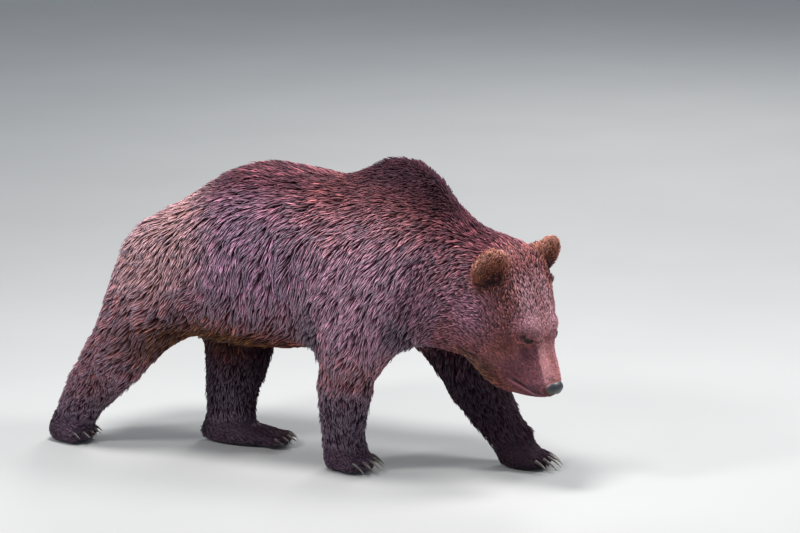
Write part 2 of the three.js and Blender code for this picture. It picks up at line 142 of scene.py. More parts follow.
def link(name: str, mesh: bpy.types.Mesh) -> bpy.types.Object:
    """A new object of that mesh in the scene."""
    obj = bpy.data.objects.new(name, mesh)
    bpy.context.scene.collection.objects.link(obj)
    return obj


def read_vertices(mesh: bpy.types.Mesh, what: str) -> np.ndarray:
    """A vector that each of the mesh's vertices holds, as rows."""
    rows = np.empty(len(mesh.vertices) * 3)
    mesh.vertices.foreach_get(what, rows)
    return rows.reshape(-1, 3)


def coordinates(mesh: bpy.types.Mesh) -> np.ndarray:
    """The mesh's vertices as rows."""
    return read_vertices(mesh, "co")


def normals(mesh: bpy.types.Mesh) -> np.ndarray:
    """The mesh's vertex normals as rows."""
    return read_vertices(mesh, "normal")


def mesh_of(bm: bmesh.types.BMesh, name: str) -> bpy.types.Mesh:
    """The finished bmesh as a new mesh; the bmesh is let go."""
    mesh = bpy.data.meshes.new(name)
    bm.to_mesh(mesh)
    bm.free()
    return mesh


def add_node(bm: bmesh.types.BMesh, node: bpy.types.Object) -> list[bmesh.types.BMVert]:
    """Adds a node's shape, its loose triangles joined.

    Args:
        bm: the mesh it is added to.
        node: the node's object.
    Returns:
        The vertices that were added.
    """
    start = len(bm.verts)
    bm.from_mesh(node.data)
    bm.verts.ensure_lookup_table()
    bmesh.ops.remove_doubles(bm, verts=bm.verts[start:], dist=1e-5)
    bm.verts.ensure_lookup_table()
    return bm.verts[start:]


def place_vertices(mesh: bpy.types.Mesh, co: np.ndarray) -> None:
    """Moves the mesh's vertices."""
    mesh.vertices.foreach_set("co", co.astype(np.float32).ravel())
    mesh.update()


def paint(mesh: bpy.types.Mesh, name: str, values: np.ndarray) -> None:
    """Stores one value or one colour for each vertex as an attribute.

    Args:
        mesh: the mesh.
        name: the attribute's name.
        values: a value or a colour for each vertex.
    """
    if values.ndim == 1:
        mesh.attributes.new(name, "FLOAT", "POINT").data.foreach_set("value", values.astype(np.float32))
        return
    rgba = np.ones((len(values), 4), np.float32)
    rgba[:, :3] = values
    mesh.attributes.new(name, "FLOAT_COLOR", "POINT").data.foreach_set("color", rgba.ravel())


# ---------------------------------------------------------------- the head's frame


@dataclass(frozen=True)
class HeadFrame:
    """The head's own frame: x to the nose, y to the left, z to the crown, in millimetres."""

    at: tuple[float, float, float] = (0.6359, -0.0267, 0.634)
    yaw: float = -21.5
    pitch: float = 55.8
    roll: float = 3.0
    scale: float = 1.03

    @property
    def matrix(self) -> Matrix:
        """From head millimetres to metres in the shared frame."""
        turn = (
            Matrix.Rotation(math.radians(self.yaw), 4, "Z")
            @ Matrix.Rotation(math.radians(self.pitch), 4, "Y")
            @ Matrix.Rotation(math.radians(self.roll), 4, "X")
        )
        return Matrix.Translation(self.at) @ turn @ Matrix.Scale(self.scale * MM, 4)

    def inward(self, p: np.ndarray) -> np.ndarray:
        """Points of the shared frame as head millimetres."""
        m = np.array(self.matrix.inverted())
        return p @ m[:3, :3].T + m[:3, 3]

    def outward(self, q: np.ndarray) -> np.ndarray:
        """Points in head millimetres as points of the shared frame."""
        m = np.array(self.matrix)
        return q @ m[:3, :3].T + m[:3, 3]

    def direction(self, v: Sequence[float]) -> np.ndarray:
        """A direction of the head's frame in the shared frame."""
        return unit(np.array(v) @ np.array(self.matrix)[:3, :3].T)


HEAD = HeadFrame()


def centre_of(node: str) -> np.ndarray:
    """The middle of a node's box."""
    low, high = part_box(node)
    return np.array((low + high) / 2.0)


# ---------------------------------------------------------------- finishes


class Nodes:
    """Short calls for building one node tree."""

    def __init__(self, tree: bpy.types.NodeTree) -> None:
        """Starts on an empty tree.

        Args:
            tree: the tree to fill.
        """
        self.tree = tree
        tree.nodes.clear()

    def feed(self, socket: bpy.types.NodeSocket, value: object) -> None:
        """Links another socket to an input, or sets the input's own value."""
        if isinstance(value, bpy.types.NodeSocket):
            self.tree.links.new(value, socket)
        else:
            socket.default_value = value

    def add(self, kind: str, **settings: object) -> bpy.types.Node:
        """Adds a node.

        Args:
            kind: the node's type.
            settings: its properties by name, and its inputs as in_NAME or in_NUMBER.
        Returns:
            The node.
        """
        node = self.tree.nodes.new(kind)
        for key, value in settings.items():
            if not key.startswith("in_"):
                setattr(node, key, value)
        for key, value in settings.items():
            if key.startswith("in_"):
                name = key[3:]
                self.feed(node.inputs[int(name) if name.isdigit() else name.replace("_", " ")], value)
        return node

    def dress(self, node: bpy.types.Node, **inputs: object) -> None:
        """Feeds a node's inputs, named with _ for each space."""
        for name, value in inputs.items():
            self.feed(node.inputs[name.replace("_", " ")], value)

    def math(self, operation: str, a: object, b: object = 0.0, c: object = 0.0) -> bpy.types.NodeSocket:
        """The result of one operation on two or three values or sockets."""
        return self.add("ShaderNodeMath", operation=operation, in_0=a, in_1=b, in_2=c).outputs[0]

    def blend(self, kind: str, factor: object, a: object, b: object) -> bpy.types.NodeSocket:
        """Two colours mixed in one of Blender's ways."""
        node = self.add("ShaderNodeMix", data_type="RGBA", blend_type=kind, in_0=factor, in_6=a, in_7=b)
        return node.outputs[2]

    def grey(self, value: object) -> bpy.types.NodeSocket:
        """A value as a grey that a colour can be multiplied by."""
        return self.add("ShaderNodeCombineXYZ", in_X=value, in_Y=value, in_Z=value).outputs[0]

    def place(self) -> bpy.types.NodeSocket:
        """Where each point is on the object."""
        return self.add("ShaderNodeTexCoord").outputs["Object"]

    def attribute(self, name: str, output: str = "Fac") -> bpy.types.NodeSocket:
        """What the mesh holds under that name."""
        return self.add("ShaderNodeAttribute", attribute_name=name).outputs[output]

    def ramp(self, value: bpy.types.NodeSocket, stops: Sequence[tuple[float, tuple]]) -> bpy.types.NodeSocket:
        """The colour that a value has on a ramp.

        Args:
            value: the value.
            stops: (position, colour) for each stop of the ramp, from low to high.
        Returns:
            The colour.
        """
        node = self.add("ShaderNodeValToRGB", in_Fac=value)
        elements = node.color_ramp.elements
        for index, (position, colour) in enumerate(stops):
            stop = elements[index] if index < 2 else elements.new(position)
            stop.position, stop.color = position, colour
        return node.outputs[0]


def make_group(name: str, inputs: Iterable[tuple], outputs: Iterable[tuple]) -> bpy.types.NodeTree:
    """An empty shader group with named sockets.

    Args:
        name: the group's name.
        inputs: (name, socket type, default) for each input.
        outputs: (name, socket type) for each output.
    Returns:
        The group.
    """
    group = bpy.data.node_groups.new(name, "ShaderNodeTree")
    for title, kind, default in inputs:
        group.interface.new_socket(title, in_out="INPUT", socket_type=kind).default_value = default
    for title, kind in outputs:
        group.interface.new_socket(title, in_out="OUTPUT", socket_type=kind)
    return group


def mottle_group() -> bpy.types.NodeTree:
    """Small shifts of light and dark over a coat colour, the same on skin and tufts."""
    group = make_group(
        "coat_mottle",
        [("Color", "NodeSocketColor", (0.1, 0.06, 0.05, 1.0)), ("Amount", "NodeSocketFloat", 0.3)],
        [("Color", "NodeSocketColor")],
    )
    n = Nodes(group)
    source = n.add("NodeGroupInput")
    patches = n.add("ShaderNodeTexNoise", in_Vector=n.place(), in_Scale=9.0, in_Detail=3.0)
    level = n.math("SUBTRACT", patches.outputs["Fac"], 0.5)
    gain = n.math("MULTIPLY_ADD", level, source.outputs["Amount"], 1.0)
    n.add("NodeGroupOutput", in_Color=n.blend("MULTIPLY", 1.0, source.outputs["Color"], n.grey(gain)))
    return group


def strand_group() -> bpy.types.NodeTree:
    """Fine hairs along a tuft: a dark root and a lighter tip, partly the hairs' own colour and partly painted
    shade deep in the coat, a painted highlight down each tuft's ridge with painted shade at its edges, a
    painted sheen that pales the tips, and streaks that run its length.
    """
    group = make_group(
        "coat_strands",
        [
            ("Color", "NodeSocketColor", (0.1, 0.06, 0.05, 1.0)),
            ("Root", "NodeSocketFloat", 0.35),
            ("Tip", "NodeSocketFloat", 1.3),
            ("Frost", "NodeSocketFloat", 0.3),
            ("Frost Color", "NodeSocketColor", (0.5, 0.41, 0.52, 1.0)),
        ],
        [("Color", "NodeSocketColor"), ("Height", "NodeSocketFloat")],
    )
    n = Nodes(group)
    source = n.add("NodeGroupInput")
    strand = n.add("ShaderNodeUVMap", uv_map="strand").outputs["UV"]
    across, along = n.add("ShaderNodeSeparateXYZ", in_Vector=strand).outputs[:2]
    # painted highlight down each tuft's ridge, painted shade at its two edges
    ridge = n.math("COSINE", n.math("MULTIPLY", across, 2.0 * math.pi))
    edge = n.math("MULTIPLY_ADD", ridge, 0.66, 0.46)
    stretch = n.add("ShaderNodeMapping", in_Vector=strand, in_Scale=(9.0, 1.1, 1.0))
    streaks = n.add("ShaderNodeTexNoise", in_Vector=stretch.outputs[0], in_Scale=1.6, in_Detail=2.0)
    # dark root to light tip: partly the hairs' own colour, partly painted shade deep in the coat
    span = n.math("SUBTRACT", source.outputs["Tip"], source.outputs["Root"])
    rise = n.math("MULTIPLY", n.math("POWER", along, 1.6), span)
    level = n.math("ADD", rise, source.outputs["Root"])
    spread = n.math("MULTIPLY_ADD", streaks.outputs["Fac"], 0.9, 0.55)
    gain = n.math("MULTIPLY", n.math("MULTIPLY", level, spread), edge)
    # painted sheen: towards the tip the colour is paled to the sheen colour
    frost = n.math("MULTIPLY", n.math("POWER", along, 2.2), source.outputs["Frost"])
    tinted = n.blend("MIX", frost, source.outputs["Color"], source.outputs["Frost Color"])
    shaded = n.blend("MULTIPLY", 1.0, tinted, n.grey(gain))
    n.add("NodeGroupOutput", in_Color=shaded, in_Height=streaks.outputs["Fac"])
    return group


class Groups:
    """The shared effects, each built once."""

    def __init__(self) -> None:
        """Builds the groups."""
        self.mottle = mottle_group()
        self.strands = strand_group()


def new_material(name: str) -> tuple[bpy.types.Material, Nodes, bpy.types.Node]:
    """A material with a Principled shader on its output.

    Returns:
        The material, its node calls and the shader.
    """
    material = bpy.data.materials.new(name)
    material.use_nodes = True
    n = Nodes(material.node_tree)
    shader = n.add("ShaderNodeBsdfPrincipled")
    out = n.add("ShaderNodeOutputMaterial")
    material.node_tree.links.new(shader.outputs[0], out.inputs[0])
    return material, n, shader


def use_group(n: Nodes, group: bpy.types.NodeTree, **inputs: object) -> bpy.types.Node:
    """Places a shared group in a material."""
    return n.add("ShaderNodeGroup", node_tree=group, **inputs)


MOTTLE = 0.5  # how much the coat's light and dark patches differ


@dataclass(frozen=True)
class CoatFinish:
    """Fur on the tufts, glossy where it is wet and duller where it has dried, the wet tips paled by a painted
    sheen.
    """

    name: str = "coat"
    roughness: float = 0.36
    dryness: float = 0.34
    specular: float = 0.34
    root: float = 0.07
    tip: float = 1.8
    frost: float = 0.74
    sheen: float = 0.01
    bump: float = 0.3

    def make(self, groups: Groups) -> bpy.types.Material:
        """Builds the material."""
        material, n, shader = new_material(self.name)
        colour = n.attribute("coat_colour", "Color")
        mottled = use_group(n, groups.mottle, in_Color=colour, in_Amount=MOTTLE).outputs[0]
        # frost marks wet fur: it lowers the roughness and sets how much painted sheen pales the tips
        damp = n.attribute("frost")
        tip_sheen = n.math("MULTIPLY", damp, self.frost)
        strands = use_group(
            n, groups.strands, in_Color=mottled, in_Root=self.root, in_Tip=self.tip, in_Frost=tip_sheen
        )
        height = strands.outputs["Height"]
        bump = n.add("ShaderNodeBump", in_Strength=self.bump, in_Distance=0.0006, in_Height=height)
        n.dress(
            shader,
            Base_Color=strands.outputs["Color"],
            Normal=bump.outputs[0],
            Roughness=n.math("MULTIPLY_ADD", damp, -self.dryness, self.roughness + self.dryness),
            Specular_IOR_Level=self.specular,
            Specular_Tint=(0.92, 0.4, 0.62, 1.0),
            Sheen_Weight=self.sheen,
            Sheen_Roughness=0.4,
            Sheen_Tint=(0.82, 0.7, 0.95, 1.0),
        )
        return material


BODY_COAT = CoatFinish()
HEAD_COAT = CoatFinish(
    "head_coat", roughness=0.58, dryness=0.1, specular=0.28, root=0.3, tip=1.55, frost=0.2, sheen=0.08
)
NAP = CoatFinish(
    "nap", roughness=0.58, dryness=0.1, specular=0.28, root=0.75, tip=1.65, frost=0.22, sheen=0.1
)
EAR_COAT = CoatFinish(
    "ear_coat", roughness=0.6, dryness=0.1, specular=0.25, root=0.3, tip=1.9, frost=0.12, sheen=0.05
)


@dataclass(frozen=True)
class SkinFinish:
    """The skin, which carries the coat's colours and short flat fur as bump."""

    name: str = "skin"
    fur_bump: float = 0.6
    fur_scale: float = 420.0

    def make(self, groups: Groups) -> bpy.types.Material:
        """Builds the material."""
        material, n, shader = new_material(self.name)
        colour = n.attribute("coat_colour", "Color")
        bare = n.attribute("bare")
        mottled = use_group(n, groups.mottle, in_Color=colour, in_Amount=MOTTLE).outputs[0]
        nap = n.add("ShaderNodeTexNoise", in_Vector=n.place(), in_Scale=self.fur_scale, in_Detail=2.0)
        fleck = n.math("MULTIPLY_ADD", nap.outputs["Fac"], 0.9, 0.26)
        furred = n.blend("MULTIPLY", 1.0, mottled, n.grey(fleck))
        strength = n.math("MULTIPLY", n.math("SUBTRACT", 1.0, bare), nap.outputs["Fac"])
        bump = n.add("ShaderNodeBump", in_Strength=self.fur_bump, in_Distance=0.0012, in_Height=strength)
        n.dress(
            shader,
            Base_Color=n.blend("MIX", bare, furred, colour),
            Normal=bump.outputs[0],
            Roughness=n.math("MULTIPLY_ADD", bare, -0.3, 0.68),
            Specular_IOR_Level=0.25,
        )
        return material


@dataclass(frozen=True)
class NoseFinish:
    """Bare nose leather: slate grey, moist, in small cells."""

    name: str = "nose_leather"
    colour: tuple[float, float, float, float] = (0.017, 0.018, 0.024, 1.0)
    hollow: tuple[float, float, float, float] = (0.004, 0.004, 0.005, 1.0)
    cell: float = 620.0

    def make(self) -> bpy.types.Material:
        """Builds the material."""
        material, n, shader = new_material(self.name)
        cells = n.add("ShaderNodeTexVoronoi", in_Vector=n.place(), in_Scale=self.cell, feature="SMOOTH_F1")
        height = cells.outputs["Distance"]
        bump = n.add("ShaderNodeBump", in_Strength=0.45, in_Distance=0.0008, in_Height=height)
        n.dress(
            shader,
            Base_Color=n.blend("MIX", n.attribute("pit"), self.colour, self.hollow),
            Normal=bump.outputs[0],
            Roughness=0.38,
            Coat_Weight=0.35,
            Coat_Roughness=0.22,
        )
        return material


@dataclass(frozen=True)
class EyeFinish:
    """A dark brown eye under a clear wet surface."""

    name: str = "eye"
    pupil: float = 0.2
    iris: float = 0.56
    white: float = 0.85

    def make(self) -> bpy.types.Material:
        """Builds the material."""
        material, n, shader = new_material(self.name)
        stops = (
            (self.pupil, (0.001, 0.001, 0.001, 1.0)),
            (self.pupil + 0.03, (0.035, 0.016, 0.007, 1.0)),
            (self.iris - 0.06, (0.05, 0.024, 0.01, 1.0)),
            (self.iris, (0.006, 0.004, 0.003, 1.0)),
            (self.white, (0.03, 0.02, 0.018, 1.0)),
        )
        n.dress(
            shader,
            Base_Color=n.ramp(n.attribute("gaze"), stops),
            Roughness=0.12,
            Specular_IOR_Level=0.1,
            Coat_IOR=1.28,
            Coat_Weight=1.0,
            Coat_Roughness=0.02,
        )
        return material


@dataclass(frozen=True)
class ClawFinish:
    """Pale worn horn, darker at the root."""

    name: str = "claw_horn"

    def make(self) -> bpy.types.Material:
        """Builds the material."""
        material, n, shader = new_material(self.name)
        grain = n.add("ShaderNodeTexNoise", in_Vector=n.place(), in_Scale=260.0, in_Detail=3.0).outputs["Fac"]
        worn = n.math("ADD", n.attribute("reach"), n.math("MULTIPLY", grain, 0.25))
        stops = ((0.2, (0.045, 0.035, 0.03, 1.0)), (0.95, (0.3, 0.26, 0.22, 1.0)))
        n.dress(shader, Base_Color=n.ramp(worn, stops), Roughness=0.34)
        return material


# ---------------------------------------------------------------- the coat's plan


@dataclass(frozen=True)
class CoatStyle:
    """How one kind of flesh is furred, in millimetres.

    depth is from the skin to the outline, spacing the way from tuft to tuft, and lie the fur's
    direction in the shared frame. clump is how far tufts draw together in locks, and frost how
    wet their tips are, which pales them with a painted sheen. slot is the frame's material slot of the tufts.
    """

    depth: float
    length: float
    width: float
    spacing: float
    lie: tuple[float, float, float]
    clump: float
    frost: float
    slot: str


STYLES: dict[Part, CoatStyle] = {
    Part.TRUNK: CoatStyle(20.0, 60.0, 7.2, 7.5, (-0.8, 0.0, -0.5), 0.5, 1.0, "trunk"),
    Part.NECK: CoatStyle(18.0, 34.0, 5.2, 5.8, (-0.62, 0.0, -0.6), 0.4, 0.7, "neck"),
    Part.HEAD: CoatStyle(13.0, 22.0, 3.4, 4.4, (-0.5, 0.2, 0.6), 0.35, 1.0, "head"),
    Part.JAW: CoatStyle(9.0, 24.0, 3.2, 4.2, (-0.3, 0.1, 0.3), 0.4, 0.5, "head"),
    Part.EAR: CoatStyle(5.0, 15.0, 2.3, 3.1, (0.0, 0.0, 1.0), 0.35, 0.6, "head"),
    Part.TAIL: CoatStyle(14.0, 48.0, 6.4, 6.4, (-0.4, 0.0, -0.9), 0.5, 0.5, "trunk"),
    Part.THIGH: CoatStyle(17.0, 52.0, 7.6, 7.6, (-0.45, 0.0, -0.9), 0.5, 1.0, "legs"),
    Part.SHANK: CoatStyle(12.0, 38.0, 5.0, 6.0, (-0.1, 0.0, -1.0), 0.5, 1.0, "legs"),
    Part.PAW: CoatStyle(6.0, 20.0, 3.4, 4.6, (0.85, 0.0, -0.4), 0.4, 0.6, "paws"),
}

LIMB_LIE = {
    "front_right_upper_leg": (-0.42, 0.0, -0.9),
    "front_right_lower_leg": (-0.12, 0.05, -1.0),
    "front_left_upper_leg": (0.1, 0.0, -1.0),
    "front_left_lower_leg": (0.5, -0.08, -0.84),
    "hind_right_upper_leg": (-0.72, 0.0, -0.7),
    "hind_right_lower_leg": (-0.55, 0.0, -0.82),
    "hind_left_upper_leg": (-0.35, 0.0, -0.92),
    "hind_left_lower_leg": (-0.05, 0.0, -1.0),
}


@dataclass(frozen=True)
class Shades:
    """The coat's named colours."""

    chocolate: tuple[int, int, int] = (126, 68, 66)
    mauve: tuple[int, int, int] = (132, 80, 94)
    lilac: tuple[int, int, int] = (182, 126, 146)
    # violet_sheen: a painted bluish sheen of wet fur
    violet_sheen: tuple[int, int, int] = (140, 108, 156)
    tan: tuple[int, int, int] = (232, 172, 162)
    umber: tuple[int, int, int] = (42, 15, 22)
    soot: tuple[int, int, int] = (52, 27, 46)
    # pitch: near-black, laid as painted shade in creases, behind the ears, on the far legs and in the gap
    # between the lips
    pitch: tuple[int, int, int] = (20, 9, 13)
    gold: tuple[int, int, int] = (94, 60, 14)
    rust: tuple[int, int, int] = (172, 100, 86)
    rose: tuple[int, int, int] = (226, 166, 172)
    grizzle: tuple[int, int, int] = (144, 98, 114)
    muzzle: tuple[int, int, int] = (106, 56, 62)
    bridge: tuple[int, int, int] = (240, 168, 168)
    lip: tuple[int, int, int] = (146, 88, 100)
    lid: tuple[int, int, int] = (30, 18, 22)
    ear_back: tuple[int, int, int] = (160, 94, 66)
    # ear_rim_highlight: the rims' paler fur, laid strongest towards the top as painted light; ear_hollow_shade:
    # painted shade in the hollows
    ear_rim_highlight: tuple[int, int, int] = (206, 138, 116)
    ear_hollow_shade: tuple[int, int, int] = (62, 34, 28)


@dataclass(frozen=True)
class Mark:
    """A soft patch of one shade.

    The centre and radii are metres on the body, and the head's own millimetres on the head,
    where both sides are marked alike. A mark with parts is kept to those parts.
    """

    shade: str
    weight: float
    centre: tuple[float, float, float]
    radii: tuple[float, float, float]
    parts: tuple[Part, ...] = ()

    def amount(self, p: np.ndarray, share: dict[Part, np.ndarray]) -> np.ndarray:
        """How strongly the mark covers each place."""
        kept = sum(share[part] for part in self.parts) if self.parts else 1.0
        return self.weight * kept * blob(p, self.centre, self.radii)


WIDE = 9.0  # a radius across the body that takes in both flanks
BODY = (Part.TRUNK, Part.THIGH)
BODY_MARKS = (
    # mauve on the flanks is partly the coat's own purple cast and partly a painted sheen of wet fur;
    # violet_sheen is painted sheen only
    Mark("mauve", 0.5, (-0.06, 0.0, 0.62), (0.42, WIDE, 0.26), BODY),
    Mark("violet_sheen", 0.28, (-0.10, 0.0, 0.70), (0.34, WIDE, 0.22), BODY),
    Mark("lilac", 0.85, (0.27, 0.0, 0.60), (0.23, WIDE, 0.28)),
    Mark("lilac", 0.75, (0.24, 0.0, 0.45), (0.14, 0.4, 0.12)),
    Mark("lilac", 0.5, (0.52, 0.0, 0.50), (0.15, WIDE, 0.15)),
    Mark("rust", 0.35, (0.22, 0.0, 0.80), (0.30, WIDE, 0.13)),
    Mark("rust", 0.5, (0.27, 0.0, 0.37), (0.13, 0.4, 0.1)),
    Mark("tan", 0.85, (-0.47, 0.0, 0.74), (0.25, WIDE, 0.25), BODY),
    Mark("umber", 0.9, (0.35, 0.0, 0.95), (0.24, 0.22, 0.16)),
    Mark("umber", 0.85, (0.50, 0.0, 0.86), (0.18, 0.2, 0.15)),
    Mark("umber", 0.6, (0.60, 0.0, 0.80), (0.14, 0.24, 0.13)),
    Mark("gold", 0.95, (-0.24, 0.0, 0.37), (0.36, WIDE, 0.12), BODY),
    # painted shade in the creases behind the foreleg and between the upper arm and the chest
    Mark("pitch", 0.85, (0.095, 0.0, 0.45), (0.045, WIDE, 0.14)),
    Mark("pitch", 0.85, (0.375, 0.0, 0.47), (0.04, WIDE, 0.11)),
)
HEAD_MARKS = (
    Mark("grizzle", 0.8, (70, 130, -40), (120, 80, 100)),
    # pitch behind and below each ear: painted shadow where the ear meets the neck
    Mark("pitch", 0.6, (10, 128, 4), (50, 50, 44)),
    # rose on the forehead: partly paler fur, partly painted light where the top of the head catches the light
    Mark("rose", 0.95, (156, 24, 100), (120, 58, 76)),
    Mark("lilac", 0.4, (186, 70, 62), (50, 34, 36)),
    Mark("rust", 0.45, (150, 0, 110), (110, 22, 60)),
    Mark("umber", 0.4, (96, 76, 70), (66, 32, 54)),
    Mark("rust", 0.4, (100, 74, 70), (60, 34, 50)),
    Mark("gold", 0.95, (190, 40, -175), (150, 100, 84)),
    Mark("gold", 0.85, (222, 64, -122), (84, 60, 52)),
)
SNOUT_MARKS = (
    # lid round each eye is partly dark lid skin and partly painted shade; the umber just below is painted shade
    # in the crease under the eye
    Mark("lid", 0.7, (224, 62, 38), (24, 22, 14)),
    Mark("umber", 0.5, (250, 60, 8), (34, 24, 20)),
    Mark("umber", 0.6, (352, 30, -40), (34, 30, 26)),
)


class Markings:
    """The coat's colours by place, shared by the skin and the tufts."""

    def __init__(self, shades: Shades = Shades()) -> None:
        """Turns the named colours into linear light.

        Args:
            shades: the colours.
        """
        self.light = {name: hue(*value) for name, value in vars(shades).items()}

    def touch(self, colour: np.ndarray, shade: str, weight: np.ndarray) -> np.ndarray:
        """The colour with a shade laid over it."""
        return mix(colour, self.light[shade], np.clip(weight, 0.0, 1.0))

    def at(self, p: np.ndarray, n: np.ndarray, share: dict[Part, np.ndarray]) -> np.ndarray:
        """The colour at each place.

        Args:
            p: places in the shared frame.
            n: the skin's normals there.
            share: how far each place belongs to each part, from 0 to 1.
        Returns:
            Linear colours, one row for each place.
        """
        colour = np.tile(self.light["chocolate"], (len(p), 1))
        colour = self.touch(colour, "mauve", 0.35 * share[Part.NECK])
        for mark in BODY_MARKS:
            colour = self.touch(colour, mark.shade, mark.amount(p, share))
        top = ease(0.35, 0.95, n[:, 2]) * share[Part.TRUNK] * ease(-0.42, -0.24, p[:, 0])
        colour = self.touch(colour, "umber", 0.62 * top)
        legs = 1.0 - share[Part.HEAD] - share[Part.JAW] - share[Part.EAR]
        # Low on the far side the legs' dark band reaches higher and a near-black wash is laid: painted shade,
        # since that side lies in shadow. The dark lower legs are otherwise the coat's own colour.
        far = ease(-0.05, 0.08, p[:, 1])
        trailing = 0.07 * ease(0.1, -0.1, p[:, 0]) * (1.0 - far)
        height = p[:, 2] - 0.1 * far + trailing
        dark = np.where(p[:, 0] > 0.0, ease(0.34, 0.2, height), ease(0.32, 0.16, height))
        colour = self.touch(colour, "soot", dark * legs)
        colour = self.touch(colour, "pitch", 0.75 * far * legs * ease(0.46, 0.34, p[:, 2]))
        return self.face(p, share, colour)

    def face(self, p: np.ndarray, share: dict[Part, np.ndarray], colour: np.ndarray) -> np.ndarray:
        """The head's own colours laid over the rest.

        Args:
            p: places in the shared frame.
            share: how far each place belongs to each part.
            colour: the colours so far.
        Returns:
            The colours with the head's own on top.
        """
        q = HEAD.inward(p)
        both = np.stack([q[:, 0], np.abs(q[:, 1]), q[:, 2]], 1)
        head = on_face(share)
        colour = self.touch(colour, "rust", 0.4 * head)
        for mark in HEAD_MARKS:
            colour = self.touch(colour, mark.shade, head * mark.amount(both, share))
        snout = head * ease(225, 262, q[:, 0]) * ease(-120, -70, q[:, 2])
        colour = self.touch(colour, "muzzle", 0.85 * snout)
        ridge = head * ease(236, 262, q[:, 0]) * ease(38, 27, both[:, 1]) * ease(-4, 8, q[:, 2])
        colour = self.touch(colour, "bridge", 0.95 * ridge)
        colour = self.touch(colour, "rust", 0.6 * ridge * ease(19, 10, both[:, 1]))
        for mark in SNOUT_MARKS:
            colour = self.touch(colour, mark.shade, head * mark.amount(both, share))
        return self.ears(q, share[Part.EAR], colour)

    def ears(self, q: np.ndarray, ear: np.ndarray, colour: np.ndarray) -> np.ndarray:
        """The ears' colours: light rims lit more towards the top as painted light, a hollow darkened as painted
        shade, and painted shade where they join the head.

        Args:
            q: points in head millimetres.
            ear: how far each point belongs to an ear.
            colour: the colours so far.
        Returns:
            The colours with the ears' own on top.
        """
        colour = self.touch(colour, "ear_back", ear)
        for sign in SIDES.values():
            local = EarShape.local(q, sign)
            out = np.hypot(local[:, 1], local[:, 2])
            deep = np.hypot(local[:, 1] + 16.0 * sign, local[:, 2] + 34.0)
            near = ear * (np.abs(local).max(1) < 100.0)
            # the rims' paler fur, made lighter towards the top as painted light
            crown = ease(-26.0, 34.0, local[:, 2] + 0.5 * sign * local[:, 1])
            colour = self.touch(colour, "ear_rim_highlight", near * crown * ease(14.0, 52.0, out))
            # painted shade deep in the hollow
            hollow = near * ease(-4.0, 6.0, local[:, 0]) * ease(50.0, 14.0, deep)
            colour = self.touch(colour, "ear_hollow_shade", 0.95 * hollow)
            # painted shade at the foot of the ear, where it meets the head
            colour = self.touch(colour, "umber", 0.8 * near * ease(-30.0, -62.0, local[:, 2]))
        return colour


# ---------------------------------------------------------------- the skin


def on_face(share: dict[Part, np.ndarray]) -> np.ndarray:
    """How far each place belongs to the head or the lower jaw, from 0 to 1."""
    return np.clip(share[Part.HEAD] + share[Part.JAW], 0.0, 1.0)


@dataclass(frozen=True)
class EarShape:
    """A round cupped ear in the head's frame, in millimetres."""

    at: tuple[float, float, float] = (-5.0, 116.0, 80.0)
    radius: float = 57.0
    thick: float = 40.0
    cup: float = 5.0
    turn: float = 12.0
    tip: float = 36.0
    fullness: float = 0.7

    @staticmethod
    def centre(sign: float) -> np.ndarray:
        """The middle of the ear on that side."""
        x, y, z = EarShape().at
        return np.array([x, y * sign, z])

    @staticmethod
    def axes(sign: float) -> np.ndarray:
        """Rows: the ear's front, left and upward directions in the head's frame."""
        shape = EarShape()
        turn = Matrix.Rotation(math.radians(sign * shape.turn), 3, "Z")
        return np.array(turn @ Matrix.Rotation(math.radians(-shape.tip), 3, "Y")).T

    @classmethod
    def local(cls, q: np.ndarray, sign: float) -> np.ndarray:
        """Points of the head's frame seen from the ear on that side: front, left and up."""
        return (q - cls.centre(sign)) @ cls.axes(sign).T

    def add(self, bm: bmesh.types.BMesh, sign: float) -> None:
        """Adds the ear's shell to a mesh in the shared frame.

        Args:
            bm: the mesh.
            sign: 1 for the left ear, -1 for the right.
        """
        shell = bmesh.ops.create_uvsphere(bm, u_segments=40, v_segments=28, radius=1.0)["verts"]
        axes = self.axes(sign)
        for v in shell:
            depth, left, up = v.co.x, v.co.y * self.radius, v.co.z * self.radius
            depth = math.copysign(abs(depth) ** self.fullness, depth) * self.thick / 2
            depth += self.cup * ((left * left + up * up) / self.radius**2 - 0.4)
            q = self.centre(sign) + np.array([depth, left, up]) @ axes
            v.co = HEAD.matrix @ Vector(q)


@dataclass(frozen=True)
class ToeShape:
    """A toe under the skin, in metres, seated on a claw's root."""

    long: float = 0.031
    wide: float = 0.0165
    tall: float = 0.02
    back: float = 0.016

    def add(self, bm: bmesh.types.BMesh, claw: "ClawNode") -> None:
        """Adds a toe behind a claw.

        Args:
            bm: the mesh it is added to.
            claw: the claw.
        """
        along = Vector((claw.way[0], claw.way[1], 0.0)).normalized()
        turn = along.to_track_quat("X", "Z").to_matrix().to_4x4()
        middle = Vector(claw.root) - along * self.back
        middle.z = max(claw.root[2] - 0.008, self.tall * 0.8)
        size = Matrix.Diagonal((self.long, self.wide, self.tall, 1.0))
        bmesh.ops.create_uvsphere(
            bm, u_segments=24, v_segments=16, radius=1.0, matrix=Matrix.Translation(middle) @ turn @ size
        )


@dataclass(frozen=True)
class ClawNode:
    """Where a claw's root is and which way it points, read from its node."""

    name: str
    root: np.ndarray
    way: np.ndarray
    reach: float

    @classmethod
    def read(cls, name: str, mesh: bpy.types.Mesh) -> "ClawNode":
        """Reads a claw from its node's mesh.

        Args:
            name: the node's name.
            mesh: its mesh.
        Returns:
            The claw.
        """
        co = coordinates(mesh)
        paw = centre_of(name.rsplit("_claw_", 1)[0] + "_paw")
        far = np.linalg.norm((co - paw)[:, :2], axis=1)
        tip = co[np.argmax(far)]
        root = co[far < far.min() + 0.25 * np.ptp(far)].mean(0)
        return cls(name, root, unit(tip - root), float(np.linalg.norm(tip - root)))


